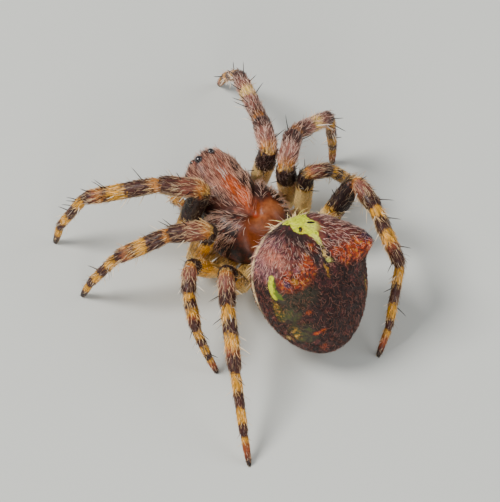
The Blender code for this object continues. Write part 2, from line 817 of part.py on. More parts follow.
def stand_over_origin(root, collection):
    """Moves the whole model so that the middle of its box stands over the origin."""
    bpy.context.view_layer.update()
    corners = [
        node.matrix_world @ vertex.co
        for node in collection.objects
        if node.type == "MESH"
        for vertex in node.data.vertices
    ]
    for axis in (0, 1):
        values = [corner_point[axis] for corner_point in corners]
        root.location[axis] -= (min(values) + max(values)) / 2
    root.location[2] -= min(corner_point[2] for corner_point in corners)


def main():
    clear_scene()
    collection = bpy.data.collections.new("gibbaranea_gibbosa")
    bpy.context.scene.collection.children.link(collection)
    root = bpy.data.objects.new("gibbaranea_gibbosa", None)
    root.empty_display_size = MM
    collection.objects.link(root)

    carapace = surface_of(build_carapace(collection, root))
    sternum = surface_of(build_sternum(collection, root))
    abdomen = surface_of(build_abdomen(collection, root))
    bodies = [carapace, sternum, abdomen]
    build_pedicel(sternum, abdomen, collection, root)
    build_spinnerets(abdomen, collection, root)
    for side, side_name in ((1, "left"), (-1, "right")):
        build_chelicera(side, side_name, collection, root)
        bodies.append(surface_of(build_palp(side, side_name, sternum, collection, root)))
        for eye, (along, degrees, radius) in EYES.items():
            build_eye(f"{eye}_{side_name}", along, degrees, radius, side, collection, root)
    build_legs(sternum, bodies, collection, root)
    stand_over_origin(root, collection)


main()
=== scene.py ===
"""Gibbaranea gibbosa, a humped orb-weaving spider: the finished look of a life-size museum model.

Shapes are worked out in millimetres, as (left, back, up) from the middle of the front body, and each
mesh is then put in its place in metres. Every skin is a grid wrapped round its form, and a coat of
separate hairs grows from it. Skin and hair read the same markings from where they stand on the body.
"""

from __future__ import annotations

import logging
import math
from dataclasses import dataclass, field
from enum import Enum

import bpy
import numpy as np
from mathutils import Euler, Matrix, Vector

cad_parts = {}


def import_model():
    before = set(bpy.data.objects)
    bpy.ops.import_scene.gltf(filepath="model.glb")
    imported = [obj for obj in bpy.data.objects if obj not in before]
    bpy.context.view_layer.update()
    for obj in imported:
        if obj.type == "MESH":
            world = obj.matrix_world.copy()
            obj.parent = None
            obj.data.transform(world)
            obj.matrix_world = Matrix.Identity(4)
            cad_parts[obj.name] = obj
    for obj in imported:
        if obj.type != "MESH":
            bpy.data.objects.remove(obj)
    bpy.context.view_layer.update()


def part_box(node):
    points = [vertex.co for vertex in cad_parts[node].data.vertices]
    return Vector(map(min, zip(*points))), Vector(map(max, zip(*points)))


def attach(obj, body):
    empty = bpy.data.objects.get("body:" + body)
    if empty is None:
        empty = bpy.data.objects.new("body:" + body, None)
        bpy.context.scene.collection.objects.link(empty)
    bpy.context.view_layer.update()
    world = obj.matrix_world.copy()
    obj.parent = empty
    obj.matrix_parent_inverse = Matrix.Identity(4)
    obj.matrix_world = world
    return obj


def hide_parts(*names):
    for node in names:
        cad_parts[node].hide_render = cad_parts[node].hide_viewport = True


LOG = logging.getLogger("gibbaranea")
MM = 0.001
BODY = "root"

Array = np.ndarray
Colour = tuple[float, float, float]
# Colours along a line, each with its place on it
Stops = list[tuple[float, Colour]]


def srgb(red: int, green: int, blue: int) -> Colour:
    """Turns a colour as seen on a screen, 0 to 255, into the renderer's linear values.

    Args:
        red: Red as seen.
        green: Green as seen.
        blue: Blue as seen.

    Returns:
        The linear colour.
    """
    shares = (red / 255, green / 255, blue / 255)
    return tuple(s / 12.92 if s <= 0.04045 else ((s + 0.055) / 1.055) ** 2.4 for s in shares)


def place(forward: float, left: float, up: float) -> Array:
    """Turns (forward, left, up) into (left, back, up)."""
    return np.array([left, -forward, up], float)


def unit(vectors: Array) -> Array:
    """Scales vectors along the last axis to length one."""
    lengths = np.linalg.norm(vectors, axis=-1, keepdims=True)
    return vectors / np.maximum(lengths, 1e-9)


def smoothstep(values: Array) -> Array:
    """Eases values between 0 and 1."""
    clipped = np.clip(values, 0.0, 1.0)
    return clipped * clipped * (3 - 2 * clipped)


def bump(values: Array, middle: float, width: float) -> Array:
    """A bell-shaped weight around a middle."""
    return np.exp(-(((values - middle) / width) ** 2))


def curve_through(table: tuple[tuple[float, ...], ...], at: Array, column: int) -> Array:
    """Reads one column of a table with a smooth curve through its rows.

    Args:
        table: Rows that start with the place along the curve.
        at: The places to read.
        column: Which column to read.

    Returns:
        The values at those places.
    """
    rows = np.array(table, float)
    known, values = rows[:, 0], rows[:, column]
    slopes = np.gradient(values, known)
    index = np.clip(np.searchsorted(known, at) - 1, 0, len(known) - 2)
    span = known[index + 1] - known[index]
    t = np.clip((at - known[index]) / span, 0.0, 1.0)
    start = (2 * t**3 - 3 * t**2 + 1) * values[index] + (t**3 - 2 * t**2 + t) * span * slopes[index]
    end = (3 * t**2 - 2 * t**3) * values[index + 1] + (t**3 - t**2) * span * slopes[index + 1]
    return start + end


def sphere(rings: int, sides: int) -> tuple[Array, Array, Array]:
    """A round grid of radius one, from pole to pole along the body, as (left, back, up)."""
    along = np.linspace(0.0, math.pi, rings)[:, None]
    around = np.linspace(0.0, math.tau, sides, endpoint=False)[None]
    left = np.sin(along) * np.cos(around)
    back = -np.cos(along) * np.ones_like(around)
    return left, back, np.sin(along) * np.sin(around)


class Side(Enum):
    """The two sides of the body, as the sign of left."""

    LEFT = 1
    RIGHT = -1

    @property
    def label(self) -> str:
        """The side's word in piece names."""
        return self.name.lower()


class LegBands(Enum):
    """Which banding pattern a leg has; the pale one is that of the two front legs on the right, paled all
    along by painted sheen, with painted light shining through their roots.
    """

    FRONT = "front"
    REAR = "rear"
    # The two front legs on the right, paled by painted sheen and painted light through their roots
    PALE = "pale"


@dataclass(frozen=True)
class Hair:
    """One kind of hair: how many stand on a square millimetre and how each is shaped.

    Sizes are in millimetres. Lift is the angle from the surface at the root and droop that at the tip;
    spread and curl are how far hairs turn aside at random, whole or along their length, in degrees.
    Each has so many straight pieces and sides, a tint drawn from a range, and a length that varies.
    """

    per_mm2: float
    length: float
    radius: float
    lift: float
    droop: float
    spread: float = 14.0
    curl: float = 0.0
    pieces: int = 2
    sides: int = 3
    tint: tuple[float, float] = (0.0, 1.0)
    vary: float = 0.25


@dataclass
class Roots:
    """Where hairs stand: place, way out, lie, place for the markings and place on the unwrap."""

    place: Array
    outward: Array
    lie: Array
    marks: Array
    unwrap: Array

    def __len__(self) -> int:
        """The number of roots."""
        return len(self.place)


@dataclass
class Shell:
    """A closed form as rings of points, with the lie of its hair and its markings' coordinates."""

    points: Array
    lie: Array
    marks: Array
    inside: Array | None = None

    def outward(self) -> Array:
        """The outward direction at every point."""
        around = np.roll(self.points, -1, axis=1) - np.roll(self.points, 1, axis=1)
        along = np.gradient(self.points, axis=0)
        normals = unit(np.cross(around, along))
        centre = self.points.mean(axis=1, keepdims=True) if self.inside is None else self.inside
        sign = np.sign((normals * (self.points - centre)).sum(axis=-1).sum())
        return normals * (sign or 1.0)

    def sample(self, per_mm2: float, chance: np.random.Generator, weight: Array | None = None) -> Roots:
        """Scatters roots evenly over the shell.

        Args:
            per_mm2: Roots for each square millimetre.
            chance: The seeded draws.
            weight: Share of the full density at each point, or None for all of it.

        Returns:
            The roots.
        """
        closed = np.concatenate([self.points, self.points[:, :1]], axis=1)
        corner = closed[:-1, :-1]
        first = closed[1:, 1:] - corner
        second = closed[1:, :-1] - closed[:-1, 1:]
        area = np.linalg.norm(np.cross(first, second), axis=-1) / 2
        expected = area * per_mm2
        if weight is not None:
            expected = expected * weight[:-1]
        count = chance.poisson(expected)
        row, column = np.nonzero(count)
        times = count[row, column]
        row, column = np.repeat(row, times), np.repeat(column, times)
        down = chance.random(len(row))
        across = chance.random(len(row))
        following = (column + 1) % self.points.shape[1]

        def blend(values: Array) -> Array:
            """Mixes a value from the four corners of each root's cell."""
            a, b = values[row, column], values[row, following]
            c, d = values[row + 1, column], values[row + 1, following]
            s, t = across[:, None], down[:, None]
            return (a * (1 - s) + b * s) * (1 - t) + (c * (1 - s) + d * s) * t

        rings, sides = self.points.shape[:2]
        unwrap = np.stack([(column + across) / sides, (row + down) / (rings - 1)], axis=-1)
        outward = unit(blend(self.outward()))
        return Roots(blend(self.points), outward, blend(self.lie), blend(self.marks), unwrap)

    def with_stations(self, station: Array) -> Shell:
        """The same form, with each point's place along a limb added to its markings' coordinates."""
        return Shell(self.points, self.lie, np.concatenate([self.points, station], axis=-1))


@dataclass
class Strands:
    """Hairs as arrays, ready to be joined into one mesh."""

    # How much thinner the tip is, how deep the root stands in radii, and the patch of the unwrap for one hair
    TAPER = 0.55
    SINK = 2
    UNWRAP_SHARE = 0.99
    UNWRAP_EDGE = 0.005
    PATCH = 0.003

    points: list[Array] = field(default_factory=list)
    faces: list[Array] = field(default_factory=list)
    unwrap: list[Array] = field(default_factory=list)
    marks: list[Array] = field(default_factory=list)
    tint: list[Array] = field(default_factory=list)
    count: int = 0

    def cover(
        self,
        shell: Shell,
        kind: Hair,
        chance: np.random.Generator,
        weight: Array | None = None,
        lengths: tuple[tuple[float, float], ...] = (),
    ) -> None:
        """Scatters hairs of one kind over a shell.

        Args:
            shell: What they stand on.
            kind: How many there are and how they are shaped.
            chance: The seeded draws.
            weight: Share of the full density at each point, or None for all of it.
            lengths: Rows of (place along a limb, share of the full length there), if it changes.
        """
        roots = shell.sample(kind.per_mm2, chance, weight)
        scale = np.interp(roots.marks[:, 3], *zip(*lengths)) if lengths else 1.0
        self.grow(roots, kind, chance, scale)

    def grow(self, roots: Roots, kind: Hair, chance: np.random.Generator, scale: Array | float = 1.0) -> None:
        """Adds one tapered, bent hair at each root.

        Args:
            roots: Where they stand.
            kind: How they are shaped.
            chance: The seeded draws.
            scale: Length of each hair as a share of the kind's.
        """
        total = len(roots)
        if not total:
            return
        normal = roots.outward
        lie = unit(roots.lie - (roots.lie * normal).sum(-1, keepdims=True) * normal)
        beside = np.cross(normal, lie)
        turn = np.radians(chance.normal(0.0, kind.spread, total))[:, None]
        lie = lie * np.cos(turn) + beside * np.sin(turn)
        beside = np.cross(normal, lie)
        length = kind.length * scale * chance.uniform(1 - kind.vary, 1 + kind.vary, total)
        curl = np.radians(chance.normal(0.0, kind.curl, total)) if kind.curl else np.zeros(total)
        step = (length / kind.pieces)[:, None]
        where = roots.place - normal * self.SINK * kind.radius
        angles = np.arange(kind.sides) * math.tau / kind.sides
        rows = []
        for piece in range(kind.pieces):
            share = piece / max(kind.pieces - 1, 1)
            rise = np.radians(kind.lift + (kind.droop - kind.lift) * share)
            bend = (curl * (piece + 0.5))[:, None]
            way = (lie * np.cos(bend) + beside * np.sin(bend)) * np.cos(rise) + normal * np.sin(rise)
            first = unit(np.cross(way, normal))
            second = np.cross(way, first)
            thick = kind.radius * (1 - self.TAPER * piece / kind.pieces)
            for angle in angles:
                rows.append(where + thick * (math.cos(angle) * first + math.sin(angle) * second))
            where = where + way * step
        rows.append(where)
        points = np.stack(rows, axis=1)
        faces = self._faces(kind.sides, kind.pieces)
        per_hair = points.shape[1]
        starts = self.count + np.arange(total) * per_hair
        self.points.append(points.reshape(-1, 3))
        self.faces.append((faces[None] + starts[:, None, None]).reshape(-1, 3))
        patch = self._patch(kind.sides, kind.pieces)
        corner = roots.unwrap[:, None] * self.UNWRAP_SHARE + self.UNWRAP_EDGE
        self.unwrap.append((corner + patch[None]).reshape(-1, 2))
        self.marks.append(np.repeat(roots.marks, per_hair, axis=0))
        self.tint.append(np.repeat(chance.uniform(*kind.tint, total), per_hair))
        self.count += total * per_hair

    @staticmethod
    def _faces(sides: int, pieces: int) -> Array:
        """The triangles of one hair, closed at root and tip."""
        faces = []
        for piece in range(pieces - 1):
            for index in range(sides):
                a = piece * sides + index
                b = piece * sides + (index + 1) % sides
                faces += [(a, b, b + sides), (a, b + sides, a + sides)]
        last = (pieces - 1) * sides
        faces += [(last + index, last + (index + 1) % sides, pieces * sides) for index in range(sides)]
        faces += [(0, index + 1, index) for index in range(1, sides - 1)]
        return np.array(faces)

    def _patch(self, sides: int, pieces: int) -> Array:
        """Where the points of one hair lie in its small patch of the unwrap."""
        size = self.PATCH
        spots = []
        for piece in range(pieces):
            for index in range(sides):
                spots.append((size * (index / (sides - 1) - 0.5), size * (piece / pieces - 0.5)))
        spots.append((0.0, size / 2))
        return np.array(spots)


class Paint:
    """Adds nodes to one shader tree and joins them."""

    def __init__(self, tree: bpy.types.NodeTree) -> None:
        """Starts on a tree."""
        self.tree = tree

    def node(self, kind: str, **settings: object) -> bpy.types.Node:
        """Adds a node with these settings."""
        made = self.tree.nodes.new(kind)
        for name, value in settings.items():
            setattr(made, name, value)
        return made

    def feed(self, socket: bpy.types.NodeSocket, value: object) -> None:
        """Links an output to an input, or sets the input's own value."""
        if isinstance(value, bpy.types.NodeSocket):
            self.tree.links.new(value, socket)
        elif isinstance(value, tuple) and len(value) == 3 and len(socket.default_value) == 4:
            socket.default_value = (*value, 1.0)
        else:
            socket.default_value = value

    def fill(self, node: bpy.types.Node, **inputs: object) -> bpy.types.Node:
        """Feeds a node's inputs by name, with underscores for the spaces in the names."""
        for name, value in inputs.items():
            self.feed(node.inputs[name.replace("_", " ")], value)
        return node

    def math(self, operation: str, first: object, second: object) -> bpy.types.NodeSocket:
        """Adds a sum of two numbers, or another operation on them."""
        made = self.node("ShaderNodeMath", operation=operation)
        self.feed(made.inputs[0], first)
        self.feed(made.inputs[1], second)
        return made.outputs[0]

    def product(self, *factors: object) -> bpy.types.NodeSocket:
        """Multiplies numbers."""
        total = factors[0]
        for factor in factors[1:]:
            total = self.math("MULTIPLY", total, factor)
        return total

    def vector(self, operation: str, first: object, second: object) -> bpy.types.NodeSocket:
        """Adds an operation on two vectors."""
        made = self.node("ShaderNodeVectorMath", operation=operation)
        self.feed(made.inputs[0], first)
        self.feed(made.inputs[1], second)
        return made.outputs["Value" if operation == "LENGTH" else "Vector"]

    def mix(self, share: object, first: object, second: object, blend: str = "MIX") -> bpy.types.NodeSocket:
        """Mixes two colours."""
        made = self.node("ShaderNodeMix", data_type="RGBA", blend_type=blend)
        self.feed(made.inputs[0], share)
        self.feed(made.inputs[6], first)
        self.feed(made.inputs[7], second)
        return made.outputs[2]

    def noise(
        self,
        vector: object,
        scale: float,
        detail: float = 2.0,
        output: str = "Fac",
        roughness: float = 0.5,
    ) -> bpy.types.NodeSocket:
        """Adds a cloudy pattern."""
        made = self.node("ShaderNodeTexNoise")
        return self.fill(made, Vector=vector, Scale=scale, Detail=detail, Roughness=roughness).outputs[output]

    def spread(
        self,
        value: object,
        low: object,
        high: object,
        start: object = 0.0,
        end: object = 1.0,
    ) -> bpy.types.NodeSocket:
        """Eases a number from one range into another, and keeps it there."""
        made = self.node("ShaderNodeMapRange", interpolation_type="SMOOTHSTEP")
        self.fill(made, Value=value, From_Min=low, From_Max=high, To_Min=start, To_Max=end)
        return made.outputs["Result"]

    def ramp(self, value: object, stops: Stops) -> bpy.types.NodeSocket:
        """Turns a number into colours along a ramp."""
        made = self.node("ShaderNodeValToRGB")
        self.feed(made.inputs["Fac"], value)
        elements = made.color_ramp.elements
        for index, (spot, colour) in enumerate(stops):
            element = elements[index] if index < 2 else elements.new(spot)
            element.position = spot
            element.color = (*colour, 1.0)
        return made.outputs["Color"]

    def attribute(self, name: str, output: str = "Vector") -> bpy.types.NodeSocket:
        """Reads an attribute of the mesh."""
        return self.node("ShaderNodeAttribute", attribute_name=name).outputs[output]

    def split(self, vector: object) -> list[bpy.types.NodeSocket]:
        """Splits a vector into its three numbers."""
        made = self.node("ShaderNodeSeparateXYZ")
        self.feed(made.inputs[0], vector)
        return list(made.outputs)

    def group(self, tree: bpy.types.NodeTree, **inputs: object) -> bpy.types.Node:
        """Places a group of nodes and feeds it."""
        return self.fill(self.node("ShaderNodeGroup", node_tree=tree), **inputs)

    def brighten(self, colour: object, level: object) -> bpy.types.NodeSocket:
        """Multiplies a colour by a number."""
        grey = self.node("ShaderNodeCombineXYZ")
        for socket in grey.inputs:
            self.feed(socket, level)
        return self.mix(1.0, colour, grey.outputs[0], "MULTIPLY")

    def mottle(self, colour: object, vector: object, scale: float, amount: float) -> bpy.types.NodeSocket:
        """Varies a colour's brightness in fine clouds."""
        cloud = self.noise(vector, scale, 4.0, "Fac", 0.65)
        return self.brighten(colour, self.spread(cloud, 0.3, 0.7, 1 - amount, 1 + amount))

    def flecks(self, vector: object, scale: float, stops: Stops) -> bpy.types.NodeSocket:
        """Adds a fine broken pattern of several colours."""
        cloud = self.noise(vector, scale, 3.0, "Fac", 0.7)
        return self.ramp(self.spread(cloud, 0.28, 0.72), stops)

    def relief(self, height: object, strength: float, depth: float) -> bpy.types.NodeSocket:
        """Dents a surface by a pattern, with the depth in millimetres."""
        made = self.node("ShaderNodeBump")
        return self.fill(made, Height=height, Strength=strength, Distance=depth * MM).outputs[0]


class Group(Paint):
    """A painter on a new shader node group that gives out one value."""

    def __init__(
        self,
        name: str,
        inputs: dict[str, str],
        output: str = "Colour",
        kind: str = "Color",
    ) -> None:
        """Starts the group.

        Args:
            name: The group's name.
            inputs: Each input's name and kind.
            output: The output's name.
            kind: The output's kind.
        """
        super().__init__(bpy.data.node_groups.new(name, "ShaderNodeTree"))
        new_socket = self.tree.interface.new_socket
        for label, input_kind in inputs.items():
            new_socket(name=label, in_out="INPUT", socket_type="NodeSocket" + input_kind)
        new_socket(name=output, in_out="OUTPUT", socket_type="NodeSocket" + kind)
        self.given = self.node("NodeGroupInput").outputs
        self.result = self.node("NodeGroupOutput").inputs[0]

    def finished(self, value: object) -> bpy.types.NodeTree:
        """Gives the value out and returns the group's tree."""
        self.feed(self.result, value)
        return self.tree


@dataclass(frozen=True)
class Palette:
    """The animal's colours, as the eye sees them in even light."""

    ochre: Colour = srgb(192, 136, 26)
    pale_ochre: Colour = srgb(206, 166, 92)
    dark: Colour = srgb(44, 24, 21)
    umber: Colour = srgb(74, 40, 32)
    chestnut: Colour = srgb(118, 64, 48)
    russet: Colour = srgb(140, 66, 30)
    purple: Colour = srgb(108, 62, 72)
    mauve: Colour = srgb(168, 112, 112)
    orange: Colour = srgb(180, 74, 14)
    red: Colour = srgb(160, 46, 8)
    maroon: Colour = srgb(96, 40, 24)
    yellow: Colour = srgb(200, 140, 30)
    straw: Colour = srgb(214, 176, 92)
    cream: Colour = srgb(250, 222, 168)
    white: Colour = srgb(250, 240, 228)
    lime: Colour = srgb(206, 214, 12)
    pale_lime: Colour = srgb(216, 214, 96)
    leaf: Colour = srgb(96, 118, 10)
    olive: Colour = srgb(74, 80, 30)
    grey_olive: Colour = srgb(64, 60, 42)
    blue_black: Colour = srgb(48, 32, 60)
    amber: Colour = srgb(140, 70, 30)
    honey: Colour = srgb(158, 92, 52)
    rose: Colour = srgb(146, 92, 78)
    tawny: Colour = srgb(176, 112, 44)
    rust: Colour = srgb(122, 54, 14)
    wine: Colour = srgb(108, 48, 48)
    tan: Colour = srgb(196, 116, 88)
    band: Colour = srgb(62, 29, 25)
    black: Colour = srgb(16, 12, 12)
    pink: Colour = srgb(250, 212, 190)
    parchment: Colour = srgb(222, 190, 124)
    peach: Colour = srgb(250, 196, 164)


PALETTE = Palette()


@dataclass(frozen=True)
class Mark:
    """A patch of colour round a place on the body, with its half sizes in millimetres."""

    centre: tuple[float, float, float]
    half: tuple[float, float, float]
    colour: Colour | bpy.types.NodeSocket
    soft: float = 0.12
    strength: float = 1.0


@dataclass(frozen=True)
class SkinFinish:
    """How a skin takes light, over its markings."""

    name: str
    roughness: float
    relief: float
    relief_scale: float
    coat: float = 0.0


@dataclass(frozen=True)
class CoatFinish:
    """How hair takes light, and how far it pales from the markings under it.

    Hairs pale as their tint goes from low to high, up to the share most, and over dark markings up to
    the share over_dark of that. Behind the abdomen's shoulders they can pale to another colour.
    """

    name: str
    pale: Colour
    low: float
    high: float
    gain: float = 1.25
    most: float = 0.6
    over_dark: float = 1.0
    rear: Colour | None = None
    roughness: float = 0.42


@dataclass(frozen=True)
class PlainFinish:
    """A finish of one colour with a fine mottle, for hard and small parts."""

    name: str
    colour: Colour
    second: Colour
    roughness: float
    scale: float = 9.0
    coat: float = 0.0
    relief: float = 0.0


class Finishes:
    """All the materials, with the groups that they share."""

    WARP_COARSE = 0.30
    WARP_FINE = 0.12

    def __init__(self) -> None:
        """Builds the shared groups."""
        self.blotch = self._blotch()
        self.warp = self._warp()
        self.hair_tone = self._hair_tone()
        self.markings = {
            "abdomen": self._abdomen(),
            "carapace": self._carapace(),
            "underside": self._underside(),
            "palp": self._limb("palp", self._palp_stops()),
            "jaw": self._jaw(),
        }
        for bands in LegBands:
            self.markings[bands.value] = self._limb(bands.value, self._leg_stops(bands))

    @staticmethod
    def _blotch() -> bpy.types.NodeTree:
        """A mask that is 1 inside an ellipsoid and fades out over its edge."""
        inputs = {"Place": "Vector", "Centre": "Vector", "Half": "Vector", "Soft": "Float"}
        paint = Group("blotch", inputs, "Mask", "Float")
        away = paint.vector("SUBTRACT", paint.given["Place"], paint.given["Centre"])
        away = paint.vector("DIVIDE", away, paint.given["Half"])
        distance = paint.vector("LENGTH", away, (0.0, 0.0, 0.0))
        near = paint.math("SUBTRACT", 1.0, paint.given["Soft"])
        far = paint.math("ADD", 1.0, paint.given["Soft"])
        return paint.finished(paint.spread(distance, near, far, 1.0, 0.0))

    def _warp(self) -> bpy.types.NodeTree:
        """Moves the coordinates about a little, so that edges of patches turn ragged."""
        paint = Group("warp", {"Place": "Vector"}, "Place", "Vector")
        vector = moved = paint.given["Place"]
        for scale, amount in ((1.7, self.WARP_COARSE), (8.0, self.WARP_FINE)):
            cloud = paint.vector("SUBTRACT", paint.noise(vector, scale, 2.0, "Color"), (0.5, 0.5, 0.5))
            moved = paint.vector("ADD", moved, paint.vector("MULTIPLY", cloud, (amount, amount, amount)))
        return paint.finished(moved)

    @staticmethod
    def _hair_tone() -> bpy.types.NodeTree:
        """Pales the markings' colour for hair, by each hair's own tint."""
        inputs = {"Marking": "Color", "Pale": "Color"}
        inputs.update({name: "Float" for name in ("Tint", "Low", "High", "Gain", "Most", "Over Dark")})
        paint = Group("hair_tone", inputs)
        given = paint.given
        tint, marking = given["Tint"], given["Marking"]
        dim, glare = paint.spread(tint, 0.0, 0.5, 0.28, 1.0), paint.spread(tint, 0.5, 0.85, 1.0, 1.9)
        lit = paint.brighten(marking, paint.product(given["Gain"], dim, glare))
        grey = paint.node("ShaderNodeRGBToBW")
        paint.feed(grey.inputs[0], marking)
        over = paint.spread(grey.outputs[0], 0.012, 0.08, given["Over Dark"], 1.0)
        share = paint.product(paint.spread(tint, given["Low"], given["High"]), over, given["Most"])
        colour = paint.mix(share, lit, given["Pale"])
        return paint.finished(paint.mix(paint.spread(tint, 1.05, 1.5), colour, PALETTE.white))

    def _markings(self, name: str) -> tuple[Group, bpy.types.NodeSocket, bpy.types.NodeSocket]:
        """Starts a group of markings: its painter, the place on the body, and that place warped."""
        paint = Group(name + "_markings", {"Place": "Vector"})
        raw = paint.given["Place"]
        return paint, raw, paint.group(self.warp, Place=raw).outputs["Place"]

    def _marked(
        self,
        paint: Paint,
        base: object,
        where: bpy.types.NodeSocket,
        marks: tuple[Mark, ...],
    ) -> bpy.types.NodeSocket:
        """Lays patches of colour over a base, in order."""
        colour = base
        for mark in marks:
            made = paint.group(self.blotch, Place=where, Centre=mark.centre, Half=mark.half, Soft=mark.soft)
            share = made.outputs["Mask"]
            if mark.strength < 1.0:
                share = paint.product(share, mark.strength)
            colour = paint.mix(share, colour, mark.colour)
        return colour

    def _abdomen(self) -> bpy.types.NodeTree:
        """Dark purple-brown with lime, orange and olive patches, in the abdomen's own axes."""
        p = PALETTE
        paint, raw, warped = self._markings("abdomen")
        base = paint.flecks(raw, 5.0, [(0.0, p.black), (0.4, p.dark), (0.7, p.band), (1.0, p.wine)])
        embers = [(0.0, p.black), (0.25, p.maroon), (0.5, p.red), (0.75, p.orange), (1.0, p.yellow)]
        fiery = paint.flecks(raw, 9.0, embers)
        plum = paint.flecks(raw, 6.0, [(0.0, p.umber), (0.35, p.purple), (0.7, p.mauve), (1.0, p.tan)])
        dusky = paint.flecks(raw, 6.0, [(0.0, p.black), (0.35, p.wine), (0.8, p.chestnut), (1.0, p.rose)])
        mustard = paint.flecks(raw, 8.0, [(0.0, p.dark), (0.5, p.olive), (0.75, p.yellow), (1.0, p.straw)])
        mossy = paint.flecks(raw, 7.0, [(0.0, p.dark), (0.35, p.grey_olive), (1.0, p.olive)])
        acid = paint.flecks(raw, 6.0, [(0.0, p.leaf), (0.2, p.lime), (0.7, p.lime), (1.0, p.pale_lime)])
        marks = (
            Mark((1.2, -1.55, 0.25), (0.6, 0.8, 1.0), plum, 0.35, 0.9),
            Mark((-0.8, -1.55, 0.6), (0.85, 0.7, 0.8), dusky, 0.3, 0.9),
            Mark((0.66, -1.5, 1.0), (0.3, 0.5, 0.55), dusky, 0.5, 0.95),
            Mark((0.28, -1.62, 0.8), (0.26, 0.5, 0.45), p.dark, 0.5, 0.75),
            Mark((1.12, -1.5, 0.6), (0.17, 0.5, 0.6), p.tan, 0.8, 0.7),
            Mark((0.1, 0.5, 1.2), (0.9, 1.1, 0.8), p.dark, 0.4, 0.6),
            Mark((1.1, -0.35, 1.1), (0.55, 0.42, 0.5), p.grey_olive, 0.4, 0.7),
            Mark((0.05, -1.40, 1.0), (0.2, 0.17, 0.25), p.black, 0.4, 0.8),
            Mark((0.12, -1.42, 0.95), (0.17, 0.14, 0.25), fiery, 0.5, 0.7),
            Mark((0.46, -1.08, 1.2), (0.17, 0.26, 0.3), fiery, 0.25, 0.95),
            Mark((1.0, -0.98, 1.4), (0.66, 0.34, 0.5), fiery, 0.3, 0.95),
            Mark((0.95, -1.2, 1.3), (0.22, 0.1, 0.4), plum, 0.4, 0.7),
            Mark((-0.6, -1.02, 1.25), (0.3, 0.2, 0.4), fiery, 0.35, 0.8),
            Mark((-0.98, -0.90, 1.42), (0.56, 0.36, 0.5), fiery, 0.3, 0.95),
            Mark((-1.45, -1.08, 1.4), (0.24, 0.12, 0.4), p.blue_black, 0.3, 0.8),
            Mark((-0.98, -1.04, 1.5), (0.09, 0.07, 0.2), p.black, 0.3, 0.8),
            Mark((1.43, -0.98, 1.49), (0.14, 0.11, 0.2), p.blue_black, 0.3, 0.9),
            Mark((1.14, -0.97, 1.46), (0.08, 0.1, 0.2), p.yellow, 0.4, 0.8),
            Mark((-0.10, -1.93, 0.38), (0.37, 0.5, 0.42), acid, 0.05),
            Mark((-0.25, -1.93, -0.05), (0.27, 0.4, 0.34), acid, 0.06),
            Mark((0.04, -1.98, 0.0), (0.17, 0.4, 0.2), acid, 0.08),
            Mark((-0.18, -1.72, 0.74), (0.15, 0.2, 0.2), acid, 0.1),
            Mark((-0.16, -1.55, 0.92), (0.10, 0.18, 0.2), p.pale_lime, 0.2, 0.85),
            Mark((-0.34, -1.86, 0.56), (0.16, 0.3, 0.2), p.pale_lime, 0.5, 0.6),
            Mark((0.05, -1.88, 0.62), (0.1, 0.2, 0.06), p.yellow, 0.6, 0.6),
            Mark((0.08, -1.86, 0.57), (0.07, 0.2, 0.06), p.black, 0.25),
            Mark((-0.36, -1.88, 0.46), (0.085, 0.2, 0.05), p.black, 0.25),
            Mark((-0.10, -1.16, 1.18), (0.06, 0.12, 0.2), p.straw, 0.35, 0.9),
            Mark((-0.15, -0.92, 1.27), (0.09, 0.07, 0.2), p.pale_lime, 0.35, 0.8),
            Mark((0.05, -0.70, 1.32), (0.03, 0.2, 0.2), p.yellow, 0.6, 0.6),
            Mark((1.60, -0.86, 0.82), (0.16, 0.46, 0.17), p.lime, 0.12),
            Mark((1.50, -0.74, 0.97), (0.14, 0.38, 0.11), p.leaf, 0.2, 0.95),
            Mark((1.34, 0.15, 0.76), (0.32, 0.26, 0.3), mossy, 0.5, 0.9),
            Mark((1.08, 0.88, 0.74), (0.4, 0.4, 0.38), mossy, 0.5, 0.7),
            Mark((1.22, 0.82, 0.56), (0.16, 0.22, 0.16), mustard, 0.6, 0.8),
            Mark((-1.15, 0.42, 0.84), (0.08, 0.36, 0.1), mustard, 0.6, 0.9),
            Mark((1.52, -0.16, 0.58), (0.13, 0.2, 0.14), mustard, 0.5, 0.95),
            Mark((1.50, 0.14, 0.5), (0.1, 0.2, 0.12), mustard, 0.4, 0.95),
            Mark((0.88, 0.22, 1.12), (0.09, 0.1, 0.1), p.orange, 0.4, 0.8),
            Mark((0.66, 0.95, 0.99), (0.18, 0.06, 0.2), fiery, 0.4),
            Mark((0.55, 1.5, 0.68), (0.1, 0.12, 0.2), fiery, 0.4, 0.9),
            Mark((1.30, 0.96, 0.2), (0.1, 0.1, 0.12), p.straw, 0.5, 0.7),
            Mark((0.0, 0.2, -1.5), (0.7, 1.4, 0.6), p.umber, 0.3, 0.9),
            Mark((0.45, 0.1, -1.5), (0.14, 0.8, 0.7), p.cream, 0.3, 0.6),
            Mark((-0.45, 0.1, -1.5), (0.14, 0.8, 0.7), p.cream, 0.3, 0.6),
        )
        colour = self._marked(paint, base, warped, marks)
        _, back, rim = paint.split(warped)
        band = paint.product(
            paint.spread(rim, -0.42, -0.34),
            paint.spread(rim, -0.16, -0.24),
            paint.spread(back, 0.4, -0.5, 0.2, 0.9),
            paint.spread(paint.noise(raw, 2.6, 3.0), 0.33, 0.48),
        )
        colour = paint.mix(band, colour, p.cream)
        return paint.finished(paint.mottle(colour, raw, 14.0, 0.3))

